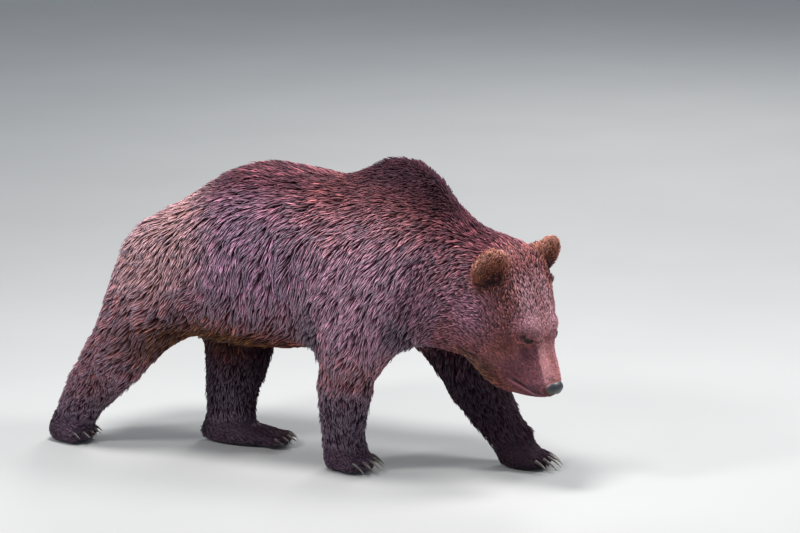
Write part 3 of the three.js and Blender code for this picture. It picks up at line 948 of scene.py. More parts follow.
class Adjacency:
    """A mesh's neighbours, for smoothing values over it."""

    def __init__(self, mesh: bpy.types.Mesh, width: int = 8) -> None:
        """Lists up to width neighbours of each vertex.

        Args:
            mesh: the mesh.
            width: how many neighbours are kept.
        """
        count = len(mesh.vertices)
        edges = np.empty(len(mesh.edges) * 2, np.int64)
        mesh.edges.foreach_get("vertices", edges)
        a, b = edges.reshape(-1, 2).T
        own, other = np.concatenate([a, b]), np.concatenate([b, a])
        order = np.argsort(own, kind="stable")
        own, other = own[order], other[order]
        first = np.searchsorted(own, np.arange(count))
        place = np.arange(len(own)) - first[own]
        keep = place < width
        self.table = np.tile(np.arange(count)[:, None], (1, width))
        self.table[own[keep], place[keep]] = other[keep]
        valence = np.minimum(np.bincount(own, minlength=count), width)
        self.weight = np.zeros((count, width))
        self.weight[own[keep], place[keep]] = 1.0 / valence[own[keep]]

    def spread(self, values: np.ndarray, rounds: int, strength: np.ndarray | float = 0.5) -> np.ndarray:
        """Values evened out over their neighbours.

        Args:
            values: a value or a row for each vertex.
            rounds: how many times they are evened.
            strength: how far each round takes a value to its neighbours' mean.
        Returns:
            The evened values.
        """
        flat = values.ndim == 1
        v = values[:, None] if flat else values
        s = strength if np.isscalar(strength) else strength[:, None]
        for _ in range(rounds):
            v = v + s * (np.einsum("nk,nkc->nc", self.weight, v[self.table]) - v)
        return v[:, 0] if flat else v


@dataclass(frozen=True)
class Stroke:
    """One touch of modelling on the head, along a line, in head millimetres.

    The line runs from start to end; rise lifts the skin (or sinks it) within the radius.
    Both sides are touched alike.
    """

    start: tuple[float, float, float]
    end: tuple[float, float, float]
    radius: float
    rise: float

    def amount(self, q: np.ndarray) -> np.ndarray:
        """How far each point is lifted, in millimetres."""
        total = np.zeros(len(q))
        for sign in SIDES.values():
            a = np.array(self.start) * (1.0, sign, 1.0)
            b = np.array(self.end) * (1.0, sign, 1.0)
            line = b - a
            t = np.clip((q - a) @ line / max(line @ line, 1e-9), 0.0, 1.0)
            away = np.linalg.norm(q - a - t[:, None] * line, axis=1)
            total += self.rise * (1.0 - ease(0.0, self.radius, away))
            if self.start[1] == 0.0 and self.end[1] == 0.0:
                break
        return total


FACE_STROKES = (
    Stroke((196, 50, 66), (212, 44, 58), 34.0, 4.5),
    Stroke((226, 62, 32), (240, 54, 24), 24.0, -5.0),
    Stroke((234, 28, 54), (338, 20, 26), 15.0, 5.5),
    Stroke((240, 0, 56), (330, 0, 28), 14.0, -2.0),
    Stroke((252, 54, 16), (324, 42, -10), 24.0, -7.5),
    Stroke((282, 50, -46), (352, 30, -42), 20.0, 5.0),
    Stroke((120, 60, 100), (180, 50, 86), 46.0, 4.0),
    Stroke((258, 68, -50), (290, 56, -50), 9.0, -3.5),
    Stroke((262, 66, -66), (290, 56, -66), 11.0, 3.0),
)


def model_face(q: np.ndarray) -> np.ndarray:
    """How far all the strokes lift each point, in millimetres."""
    return sum(stroke.amount(q) for stroke in FACE_STROKES)


@dataclass(frozen=True)
class EyeSeat:
    """One eye in the head: its place, and the slit of its lids, in millimetres."""

    side: str
    radius: float = 12.9
    slit_half: float = 12.0
    upper: float = 2.7
    lower: float = 2.7
    lid: float = 1.7

    @property
    def centre(self) -> np.ndarray:
        """The eyeball's middle in the head's frame."""
        return HEAD.inward(centre_of(f"eye_{self.side}")[None])[0]

    @property
    def axes(self) -> np.ndarray:
        """Rows: along the slit to the nose, up across it, and out of the head."""
        s = SIDES[self.side]
        out = unit(np.array([0.4, 0.78 * s, 0.46]))
        slit = np.array([0.72, -0.58 * s, 0.3])
        slit = unit(slit - out * (slit @ out))
        up = np.cross(out, slit) * s
        return np.stack([slit, up, out])

    def settle(self, q: np.ndarray) -> np.ndarray:
        """The skin's points near the eye, drawn to lids round the slit.

        Args:
            q: the skin's points in head millimetres.
        Returns:
            The points after the change.
        """
        local = (q - self.centre) @ self.axes.T
        a, b, c = local.T
        near = (np.hypot(a, b) < 34.0) & (c > -14.0)
        arch = np.sqrt(np.clip(1.0 - (a / self.slit_half) ** 2, 0.0, 1.0))
        over = np.clip(np.abs(a) - self.slit_half, 0.0, None)
        gap = np.maximum(b - self.upper * arch, -self.lower * arch - b)
        gap = np.where(over > 0.0, np.hypot(over, np.clip(gap, 0.0, None)), gap)
        ball = np.sqrt(np.clip((self.radius + self.lid) ** 2 - a * a - b * b, 0.0, None))
        ball = np.maximum(ball, 0.35 * (self.radius + self.lid))
        rim = ball + 0.9 * np.exp(-((gap - 1.3) ** 2) / 1.4)
        crease = 1.9 * np.exp(-((gap - 4.4) ** 2) / 2.2) - 2.2 * np.exp(-((gap - 8.0) ** 2) / 7.0)
        rim = rim - crease * ease(-1.0, 2.0, b) - 0.9 * np.exp(-((gap - 4.6) ** 2) / 3.0) * ease(1.0, -2.0, b)
        lidded = rim + (c - rim) * ease(5.0, 18.0, gap)
        sunk = 0.35 * self.radius
        target = np.where(gap < 0.0, sunk, lidded)
        target = np.where((gap >= -0.6) & (gap < 0.0), sunk + (lidded - sunk) * (gap + 0.6) / 0.6, target)
        out = local.copy()
        out[near, 2] = target[near]
        return out @ self.axes + self.centre

    def bare(self, q: np.ndarray) -> np.ndarray:
        """How bare the skin is: 1 on the lids' rims, falling to 0 away from them."""
        a, b, c = ((q - self.centre) @ self.axes.T).T
        away = np.hypot((a - 2.0) / (self.slit_half + 6.5), (b - 0.8) / (self.upper + 3.4))
        return (1.0 - ease(0.75, 1.3, away)) * (c > -6.0)


@dataclass(frozen=True)
class Mouth:
    """The line where the lips part, in head millimetres."""

    line: tuple[tuple[float, float], ...] = (
        (286, -84),
        (300, -78),
        (315, -71),
        (336, -62),
        (356, -50),
        (374, -37),
    )
    groove: float = 5.0
    sink: float = 6.0
    lip: float = 6.0

    def height(self, x: np.ndarray) -> np.ndarray:
        """The line's height at x."""
        xs, zs = zip(*self.line)
        return np.interp(x, xs, zs)

    def off(self, q: np.ndarray) -> np.ndarray:
        """How far each point is above the line."""
        return q[:, 2] - self.height(q[:, 0])

    def reach(self, q: np.ndarray) -> np.ndarray:
        """1 along the mouth, falling to 0 past its corner."""
        return ease(self.line[0][0] - 8, self.line[0][0] + 14, q[:, 0])

    def sculpt(self, q: np.ndarray) -> np.ndarray:
        """How far each point is lifted, in millimetres."""
        off = self.off(q)
        groove = -self.sink * np.exp(-(((off - 1.5) / self.groove) ** 2) * 2.0)
        lower = 2.8 * np.exp(-(((off + self.lip) / 4.0) ** 2))
        upper = 2.4 * np.exp(-(((off - 11.0) / 6.0) ** 2))
        return (groove + lower + upper) * self.reach(q)

    def bare(self, q: np.ndarray) -> np.ndarray:
        """How bare the skin is: the lower lip and the gap above it."""
        off = self.off(q)
        return ease(-self.lip - 3.0, -self.lip + 1.0, off) * ease(13.0, 9.5, off) * self.reach(q)

    def gap(self, q: np.ndarray) -> np.ndarray:
        """Where the dark gap between the lips is."""
        off = self.off(q)
        return ease(-2.5, 0.5, off) * ease(14.0, 10.5, off) * self.reach(q)


@dataclass
class Skin:
    """The bear's skin, which stands for every node of flesh."""

    voxel: float = 0.008
    swell: float = 0.0006
    rounds: int = 26
    floor_gap: float = 0.0015
    mesh: bpy.types.Mesh = field(init=False)
    share: dict[Part, np.ndarray] = field(init=False)
    lie: np.ndarray = field(init=False)

    def build(self, flesh: Sequence[str], nodes: NodeTable, claws: Sequence[ClawNode]) -> None:
        """Models the skin.

        Args:
            flesh: the names of the nodes it stands for.
            nodes: the frame's nodes.
            claws: the claws, each of which seats a toe.
        """
        source = self.join(flesh, nodes, claws)
        self.mesh = self.remesh(source)
        self.label(flesh, nodes)
        near = Adjacency(self.mesh)
        soft = 0.5 * (1.0 - 0.75 * (self.share[Part.HEAD] + self.share[Part.JAW] + self.share[Part.PAW]))
        soft = np.clip(soft - 0.45 * self.share[Part.EAR], 0.03, 0.5)
        place_vertices(self.mesh, near.spread(coordinates(self.mesh), self.rounds, soft))
        self.sink(near)
        self.refine()
        self.model_head()

    def join(self, flesh: Sequence[str], nodes: NodeTable, claws: Sequence[ClawNode]) -> bpy.types.Mesh:
        """All the flesh in one mesh, each piece a hair fuller so that the cuts close.

        Args:
            flesh: the names of the nodes of flesh.
            nodes: the frame's nodes.
            claws: the claws, each of which seats a toe.
        Returns:
            The joined mesh.
        """
        bm = bmesh.new()
        for name in (*flesh, "nose"):
            if not name.startswith("ear"):
                add_node(bm, nodes[name])
        bm.normal_update()
        for v in bm.verts:
            v.co += v.normal * self.swell
        for sign in SIDES.values():
            EarShape().add(bm, sign)
        for claw in claws:
            ToeShape().add(bm, claw)
        return mesh_of(bm, "flesh")

    def remesh(self, source: bpy.types.Mesh) -> bpy.types.Mesh:
        """One closed surface over the joined flesh, the loose bits inside it dropped.

        Args:
            source: the joined flesh.
        Returns:
            The surface.
        """
        obj = link("skin_source", source)
        modifier = obj.modifiers.new("remesh", "REMESH")
        modifier.mode = "VOXEL"
        modifier.voxel_size = self.voxel
        depsgraph = bpy.context.evaluated_depsgraph_get()
        mesh = bpy.data.meshes.new_from_object(obj.evaluated_get(depsgraph))
        bpy.data.objects.remove(obj)
        bm = bmesh.new()
        bm.from_mesh(mesh)
        islands = self.islands(bm)
        stray = [v for island in islands[1:] for v in island]
        bmesh.ops.delete(bm, geom=stray, context="VERTS")
        bm.to_mesh(mesh)
        bm.free()
        log.info("skin: %d faces, %d stray islands dropped", len(mesh.polygons), len(islands) - 1)
        return mesh

    @staticmethod
    def islands(bm: bmesh.types.BMesh) -> list[list[bmesh.types.BMVert]]:
        """The mesh's separate pieces, the largest first.

        Args:
            bm: the mesh.
        Returns:
            The vertices of each piece.
        """
        seen: set[bmesh.types.BMVert] = set()
        found = []
        for start in bm.verts:
            if start in seen:
                continue
            seen.add(start)
            island, front = [], [start]
            while front:
                v = front.pop()
                island.append(v)
                for edge in v.link_edges:
                    other = edge.other_vert(v)
                    if other not in seen:
                        seen.add(other)
                        front.append(other)
            found.append(island)
        return sorted(found, key=len, reverse=True)

    def label(self, flesh: Sequence[str], nodes: NodeTable) -> None:
        """Finds which node each vertex lies on, and eases the borders between the parts.

        Args:
            flesh: the names of the nodes of flesh.
            nodes: the frame's nodes.
        """
        points, faces, owner = [], [], []
        for index, name in enumerate(flesh):
            mesh = nodes[name].data
            start = len(points)
            points.extend(v.co.copy() for v in mesh.vertices)
            faces.extend([start + i for i in polygon.vertices] for polygon in mesh.polygons)
            owner.extend([index] * len(mesh.polygons))
        tree = BVHTree.FromPolygons(points, faces)
        nearest = np.array([owner[tree.find_nearest(Vector(c))[2]] for c in coordinates(self.mesh)])
        kind = np.array([PARTS.index(part_of(name)) for name in flesh])[nearest]
        near = Adjacency(self.mesh)
        shares = near.spread(np.eye(len(PARTS))[kind], 10)
        self.share = {p: shares[:, i] for i, p in enumerate(PARTS)}
        lies = np.array([self.lie_of(name) for name in flesh])
        self.lie = near.spread(self.turn_lie(lies[nearest]), 60)

    @staticmethod
    def lie_of(name: str) -> np.ndarray:
        """The fur's direction on a node.

        Args:
            name: the node's name.
        Returns:
            A direction in the shared frame.
        """
        part = part_of(name)
        if part is Part.HEAD:
            return HEAD.direction((-0.95, 0.0, -0.1))
        if part is Part.JAW:
            return HEAD.direction((-0.95, 0.0, -0.3))
        return unit(np.array(LIMB_LIE.get(name, STYLES[part].lie)))

    def turn_lie(self, lie: np.ndarray) -> np.ndarray:
        """The fur's direction with its turns over the trunk, the neck, the ears and the cheeks.

        Args:
            lie: each vertex's direction, taken from its node.
        Returns:
            Each vertex's direction after the turns.
        """
        p, n = coordinates(self.mesh), normals(self.mesh)
        trunk = self.share[Part.TRUNK]
        shoulder = blob(p, (0.3, -0.1, 0.62), (0.2, 0.5, 0.3))
        steep = 14.0 + 62.0 * ease(0.93, 0.66, p[:, 2]) - 16.0 * ease(-0.3, -0.6, p[:, 0])
        steep = np.radians(steep - 14.0 * shoulder)
        down = np.stack([-np.cos(steep), 0.12 * np.sign(p[:, 1]), -np.sin(steep)], 1)
        under = ease(-0.3, -0.8, n[:, 2])
        down = mix(down, np.array([-0.9, 0.0, -0.5]), under)
        lie = mix(lie, down, trunk)
        crest = self.share[Part.NECK] * ease(0.3, 0.9, n[:, 2])
        lie = mix(lie, np.array([-0.95, 0.0, 0.1]), crest)
        q = HEAD.inward(p)
        cheek = self.share[Part.HEAD] * ease(160, 60, q[:, 0]) * ease(40, -40, q[:, 2])
        lie = mix(lie, HEAD.direction((-0.6, 0.0, -0.8)), cheek)
        for sign in SIDES.values():
            local = EarShape.local(q, sign)
            edge = ease(26.0, 54.0, np.hypot(local[:, 1], local[:, 2]))
            sweep = np.stack([np.full(len(q), 14.0), 0.25 * local[:, 1], np.full(len(q), 44.0)], 1)
            radial = mix(sweep, local * (0.3, 0.8, 0.8) + (4.0, 0.0, 24.0), edge)
            outward = unit(radial @ EarShape.axes(sign) @ np.array(HEAD.matrix)[:3, :3].T)
            mine = self.share[Part.EAR] * (q[:, 1] * sign > 0)
            lie = mix(lie, outward, mine)
        return lie

    def depth(self) -> np.ndarray:
        """The coat's depth over each vertex, in metres."""
        depth = sum(self.share[p] * STYLES[p].depth for p in PARTS)
        q = HEAD.inward(coordinates(self.mesh))
        fine = on_face(self.share) * ease(110, 245, q[:, 0]) * ease(-150, -85, q[:, 2])
        depth = depth + (2.2 - depth) * fine
        return depth * MM

    def sink(self, near: Adjacency) -> None:
        """Draws the skin in by the coat's depth.

        Args:
            near: the skin's neighbours.
        """
        depth = near.spread(self.depth(), 14)
        direction = unit(near.spread(normals(self.mesh), 3))
        ears = ease(0.2, 0.6, self.share[Part.EAR])
        co = coordinates(self.mesh) - direction * (depth * (1.0 - ears))[:, None]
        co[:, 2] = np.maximum(co[:, 2], self.floor_gap)
        place_vertices(self.mesh, near.spread(co, 2, 0.4))

    def refine(self) -> None:
        """Divides the faces of the muzzle once, and those round the eyes and mouth again."""
        bm = bmesh.new()
        bm.from_mesh(self.mesh)
        carried = [bm.verts.layers.float.new(p.value) for p in PARTS]
        vector = bm.verts.layers.float_vector.new("lie")
        for i, v in enumerate(bm.verts):
            for layer, p in zip(carried, PARTS):
                v[layer] = self.share[p][i]
            v[vector] = self.lie[i]
        eyes = [Vector(HEAD.outward(EyeSeat(s).centre[None])[0]) for s in SIDES]
        snout = [HEAD.matrix @ Vector(c) for c in ((300, 0, -30), (352, 0, -30))]
        for centres, radius in (
            (eyes + snout, 0.085),
            (eyes + [HEAD.matrix @ Vector((310, y, -60)) for y in (-40, 0, 40)], 0.05),
            (eyes, 0.03),
        ):
            chosen = {e for e in bm.edges for c in centres if (e.verts[0].co - c).length < radius}
            bmesh.ops.subdivide_edges(bm, edges=list(chosen), cuts=1, use_grid_fill=True)
        bmesh.ops.recalc_face_normals(bm, faces=bm.faces)
        bm.to_mesh(self.mesh)
        count = len(self.mesh.vertices)
        for p in PARTS:
            values = np.empty(count)
            self.mesh.attributes[p.value].data.foreach_get("value", values)
            self.share[p] = values
            self.mesh.attributes.remove(self.mesh.attributes[p.value])
        lie = np.empty(count * 3)
        self.mesh.attributes["lie"].data.foreach_get("vector", lie)
        self.lie = lie.reshape(-1, 3)
        self.mesh.attributes.remove(self.mesh.attributes["lie"])
        bm.free()
        log.info("skin: %d faces after refining", len(self.mesh.polygons))

    def model_head(self) -> None:
        """Adds brows, bridge, lips and lids to the head."""
        near = Adjacency(self.mesh)
        head = on_face(self.share)
        front = ease(150, 200, HEAD.inward(coordinates(self.mesh))[:, 0])
        even = 0.5 * front * ease(0.3, 0.8, head)
        place_vertices(self.mesh, near.spread(coordinates(self.mesh), 8, even))
        for touch in (model_face, Mouth().sculpt):
            lift = touch(HEAD.inward(coordinates(self.mesh))) * ease(0.2, 0.7, head) * MM
            place_vertices(self.mesh, coordinates(self.mesh) + normals(self.mesh) * lift[:, None])
        co = coordinates(self.mesh)
        for side in SIDES:
            co = HEAD.outward(EyeSeat(side).settle(HEAD.inward(co)))
        place_vertices(self.mesh, co)

    def bare(self) -> np.ndarray:
        """How bare the skin is at each vertex."""
        q = HEAD.inward(coordinates(self.mesh))
        eyes = sum(EyeSeat(side).bare(q) for side in SIDES)
        return np.clip(on_face(self.share) * (Mouth().bare(q) + eyes), 0.0, 1.0)

    def finish(self, markings: Markings, finish: SkinFinish, groups: Groups) -> bpy.types.Object:
        """Colours the skin and puts it in the scene.

        Args:
            markings: the coat's colours.
            finish: the skin's finish.
            groups: the shared effects.
        Returns:
            The skin's object.
        """
        p, n = coordinates(self.mesh), normals(self.mesh)
        colour = markings.at(p, n, self.share)
        bare = self.bare()
        q = HEAD.inward(p)
        lips = Mouth().bare(q) * on_face(self.share)
        colour = mix(colour * 0.8, markings.light["lip"], lips)
        # the gap between the lips: dark lip skin, deepened with painted shade in the groove
        colour = mix(colour, markings.light["pitch"] * 0.5, Mouth().gap(q) * np.minimum(lips * 4.0, 1.0))
        eyes = np.clip(sum(EyeSeat(side).bare(q) for side in SIDES), 0.0, 1.0)
        colour = mix(colour, markings.light["lid"], eyes)
        paint(self.mesh, "coat_colour", colour)
        paint(self.mesh, "bare", bare)
        self.mesh.shade_smooth()
        obj = link("skin", self.mesh)
        obj.data.materials.append(finish.make(groups))
        return obj

    def unwrap(self, obj: bpy.types.Object) -> np.ndarray:
        """Unfolds the skin flat and takes the map off again.

        Args:
            obj: the skin's object.
        Returns:
            The place on the unfolded skin of each corner of its faces.
        """
        layer = self.mesh.uv_layers.new(name="unfolded")
        self.mesh.uv_layers.active = layer
        bpy.context.view_layer.objects.active = obj
        obj.select_set(True)
        bpy.ops.object.mode_set(mode="EDIT")
        bpy.ops.mesh.select_all(action="SELECT")
        bpy.ops.uv.smart_project(angle_limit=math.radians(70.0), island_margin=0.002)
        bpy.ops.object.mode_set(mode="OBJECT")
        obj.select_set(False)
        places = np.empty(len(self.mesh.loops) * 2)
        self.mesh.uv_layers["unfolded"].uv.foreach_get("vector", places)
        self.mesh.uv_layers.remove(self.mesh.uv_layers["unfolded"])
        return places.reshape(-1, 2)


# ---------------------------------------------------------------- the coat


@dataclass
class Roots:
    """The tufts' roots, row by row, with what each tuft is to be."""

    point: np.ndarray
    normal: np.ndarray
    lie: np.ndarray
    colour: np.ndarray
    spot: np.ndarray
    length: np.ndarray
    width: np.ndarray
    rise: np.ndarray
    clump: np.ndarray
    stray: np.ndarray
    frost: np.ndarray
    uneven: np.ndarray
    part: np.ndarray

    def take(self, rows: np.ndarray) -> "Roots":
        """Some of the rows."""
        return Roots(**{name: value[rows] for name, value in vars(self).items()})


MUZZLE_STYLE = {"length": 8.5, "width": 1.6, "spacing": 1.95, "clump": 0.25}
PAD_REACH = (24.0, 33.0, 26.0)  # no tuft stands this near to the middle of the nose pad
LID_REACH = (16.0, 7.0)  # nor this near to an eye's middle, along the slit and across it


@dataclass(frozen=True)
class CoatPlan:
    """How the styles change from place to place over the skin."""

    seed: int = 7

    def fields(self, skin: Skin) -> dict[str, np.ndarray]:
        """Tuft sizes at each vertex of the skin, in millimetres.

        Args:
            skin: the finished skin.
        Returns:
            length, width, spacing, rise, clump, stray, frost and uneven, one value for each vertex.
        """
        p, n = coordinates(skin.mesh), normals(skin.mesh)
        q = HEAD.inward(p)
        out = {
            key: sum(skin.share[part] * getattr(STYLES[part], key) for part in PARTS)
            for key in ("length", "width", "spacing", "clump")
        }
        out["rise"] = skin.depth() / MM * 0.95
        head = on_face(skin.share)
        fine = head * ease(110, 240, q[:, 0]) * ease(-150, -85, q[:, 2])
        for key, value in MUZZLE_STYLE.items():
            out[key] = out[key] + (value - out[key]) * fine
        out["rise"] = out["rise"] + fine
        mouth = Mouth()
        parting = fine * mouth.reach(q) * ease(26.0, 12.0, mouth.off(q)) * ease(-4.0, 4.0, mouth.off(q))
        out["length"] = out["length"] * (1.0 - 0.55 * parting)
        armpit = blob(p, (0.56, 0.16, 0.36), (0.1, 0.18, 0.08))
        out["length"] = out["length"] * (1.0 - 0.75 * armpit)
        out["rise"] = out["rise"] * (1.0 - 0.6 * armpit)
        out["clump"] = out["clump"] * (1.0 - armpit)
        hump = blob(p, (0.36, 0.0, 0.93), (0.3, 0.4, 0.22))
        belly = skin.share[Part.TRUNK] * ease(-0.2, -0.8, n[:, 2])
        crest = blob(p, (0.44, 0.0, 0.9), (0.15, 0.4, 0.17))
        out["length"] = out["length"] * (1.0 - 0.3 * hump - 0.2 * crest + 0.2 * belly)
        out["rise"] = out["rise"] * (1.0 - 0.4 * crest)
        out["width"] = out["width"] * (1.0 - 0.4 * hump)
        out["spacing"] = out["spacing"] * (1.0 - 0.28 * hump)
        out["clump"] = out["clump"] * (1.0 - 0.6 * hump)
        low = skin.share[Part.SHANK] + 0.5 * skin.share[Part.PAW]
        out["stray"] = 0.1 + 0.1 * hump + 0.08 * head + 0.16 * low
        out["rise"] = out["rise"] + 5.0 * skin.share[Part.SHANK]
        jowl = head * blob(q * (1.0, 0.0, 1.0), (210.0, 0.0, -165.0), (150.0, 1.0, 80.0))
        out["length"] = out["length"] + 14.0 * jowl
        out["rise"] = out["rise"] + 6.0 * jowl
        inner = skin.share[Part.TRUNK] * ease(0.0, -0.9, n[:, 2])
        out["spacing"] = out["spacing"] * (1.0 + 0.25 * inner)
        for sign in SIDES.values():
            local = EarShape.local(q, sign)
            mine = skin.share[Part.EAR] * (np.abs(local).max(1) < 90)
            hollow = mine * ease(-6.0, 4.0, local[:, 0]) * ease(48, 30, np.hypot(local[:, 1], local[:, 2]))
            out["rise"] += 3.5 * mine + 3.0 * hollow
            out["stray"] += 0.35 * mine + 0.7 * hollow
        frost = sum(skin.share[part] * STYLES[part].frost for part in PARTS)
        top = ease(0.4, 0.9, n[:, 2]) * ease(-0.5, -0.15, p[:, 0])
        # far: low on the far side, kept dull as painted shade, since that side lies in shadow
        far = ease(-0.02, 0.08, p[:, 1]) * ease(0.5, 0.38, p[:, 2])
        nape = blob(p, (0.50, 0.0, 0.85), (0.26, 0.3, 0.17))
        fringe = blob(p, (-0.24, 0.0, 0.37), (0.36, WIDE, 0.13))
        dry = (0.9 * top * (1.0 - head), 0.9 * belly, 0.8 * far, 0.85 * nape, 0.85 * fringe, 0.5 * hump)
        for dull in dry:
            frost = frost * (1.0 - dull)
        out["frost"] = frost
        out["length"] = out["length"] * (1.0 + 0.2 * fringe * skin.share[Part.TRUNK])
        out["rise"] = out["rise"] + 4.0 * fringe * skin.share[Part.TRUNK]
        out["uneven"] = 0.46 + 0.06 * head - 0.27 * fine - 0.16 * hump - 0.16 * low
        return out

    def bald(self, skin: Skin) -> np.ndarray:
        """Where no tuft may stand: soles, lips, lids, and under the nose pad.

        Args:
            skin: the finished skin.
        Returns:
            1 where no tuft may stand and 0 elsewhere, for each vertex.
        """
        p, n = coordinates(skin.mesh), normals(skin.mesh)
        q = HEAD.inward(p)
        sole = (p[:, 2] < 0.012) & (n[:, 2] < -0.3)
        pad = np.linalg.norm((q - np.array(NosePad().at)) / PAD_REACH, axis=1) < 1.0
        lips = Mouth().bare(q) * on_face(skin.share) > 0.4
        lids = np.zeros(len(p), bool)
        for side in SIDES:
            seat = EyeSeat(side)
            a, b, c = ((q - seat.centre) @ seat.axes.T).T
            lids |= (np.hypot(a / LID_REACH[0], b / LID_REACH[1]) < 1.0) & (c > -10.0)
        return (sole | pad | lips | lids).astype(float)

    def sow(self, skin: Skin, spots: np.ndarray, colour: np.ndarray) -> Roots:
        """Places the roots evenly over the skin.

        Args:
            skin: the skin.
            spots: the place of each face corner on the unfolded skin.
            colour: the skin's colour at each vertex.
        Returns:
            The roots.
        """
        rng = np.random.default_rng(self.seed)
        mesh = skin.mesh
        mesh.calc_loop_triangles()
        count = len(mesh.loop_triangles)
        corners, loops = np.empty(count * 3, np.int64), np.empty(count * 3, np.int64)
        mesh.loop_triangles.foreach_get("vertices", corners)
        mesh.loop_triangles.foreach_get("loops", loops)
        corners, loops = corners.reshape(-1, 3), loops.reshape(-1, 3)
        p = coordinates(mesh)
        a, b, c = (p[corners[:, i]] for i in range(3))
        area = np.linalg.norm(np.cross(b - a, c - a), axis=1) / 2.0
        fields = self.fields(skin)
        gap = fields["spacing"][corners].mean(1) * MM
        wanted = area / gap**2 * (1.0 - self.bald(skin)[corners].max(1))
        order = np.argsort(morton((a + b + c) / 3.0), kind="stable")
        total = np.cumsum(wanted[order])
        marks = np.arange(int(total[-1])) + rng.uniform(0.0, 1.0, int(total[-1]))
        chosen = order[np.minimum(np.searchsorted(total, marks), count - 1)]
        r1, r2 = np.sqrt(rng.uniform(size=len(chosen))), rng.uniform(size=len(chosen))
        bary = np.stack([1.0 - r1, r1 * (1.0 - r2), r1 * r2], 1)

        def at(values: np.ndarray) -> np.ndarray:
            rows = values[corners[chosen]]
            return np.einsum("nk,nk...->n...", bary, rows)

        normal = unit(at(normals(mesh)))
        lie = at(skin.lie)
        lie = unit(lie - normal * (lie * normal).sum(1)[:, None])
        kind = np.stack([skin.share[part] for part in PARTS], 1)
        return Roots(
            point=at(p),
            normal=normal,
            lie=lie,
            colour=at(colour),
            spot=np.einsum("nk,nkc->nc", bary, spots[loops[chosen]]),
            length=at(fields["length"]) * MM,
            width=at(fields["width"]) * MM,
            rise=at(fields["rise"]) * MM,
            clump=at(fields["clump"]),
            stray=at(fields["stray"]),
            frost=at(fields["frost"]),
            uneven=at(fields["uneven"]),
            part=at(kind).argmax(1),
        )


def morton(p: np.ndarray, bits: int = 9) -> np.ndarray:
    """Each point's place along a curve that keeps neighbours together.

    Args:
        p: the points.
        bits: how finely each axis is divided, as a power of two.
    Returns:
        One whole number for each point.
    """
    low, high = p.min(0), p.max(0)
    cell = ((p - low) / (high - low).max() * (2**bits - 1)).astype(np.int64)
    key = np.zeros(len(p), np.int64)
    for bit in range(bits):
        for axis in range(3):
            key |= ((cell[:, axis] >> bit) & 1) << (3 * bit + axis)
    return key


@dataclass(frozen=True)
class TuftShape:
    """One tuft: a thin three-sided lock that tapers to a point."""

    rings: tuple[float, ...] = (0.0, 0.34, 0.7)
    fullness: tuple[float, ...] = (0.7, 1.0, 0.66)
    sides: int = 3
    bed: float = 0.0025

    @property
    def faces(self) -> list[tuple[int, ...]]:
        """The tuft's faces as corners of its own vertices, each pointing outwards."""
        s, last = self.sides, len(self.rings) * self.sides
        faces = [tuple(range(s - 1, -1, -1))]
        for k in range(len(self.rings) - 1):
            for i in range(s):
                j = (i + 1) % s
                faces.append((k * s + i, k * s + j, (k + 1) * s + j, (k + 1) * s + i))
        faces.extend((last - s + i, last - s + (i + 1) % s, last) for i in range(s))
        return faces

    @property
    def strand(self) -> np.ndarray:
        """Where each face corner is on the tuft: across from 0 to 1, then along."""
        s, spots = self.sides, []
        along = (*self.rings, 1.0)
        spots.extend(((0.3, 0.0), (0.16, 0.06), (0.02, 0.0))[:s])
        for k in range(len(self.rings) - 1):
            for i in range(s):
                left, right = i / s, (i + 1) / s
                spots.extend(((left, along[k]), (right, along[k]), (right, along[k + 1]), (left, along[k + 1])))
        top = along[-2]
        for i in range(s):
            spots.extend(((i / s, top), ((i + 1) / s, top), ((i + 0.5) / s, 1.0)))
        return np.array(spots)


LONG_TUFT = TuftShape()
SHORT_TUFT = TuftShape((0.0, 0.5), (0.8, 1.0), bed=0.0008)


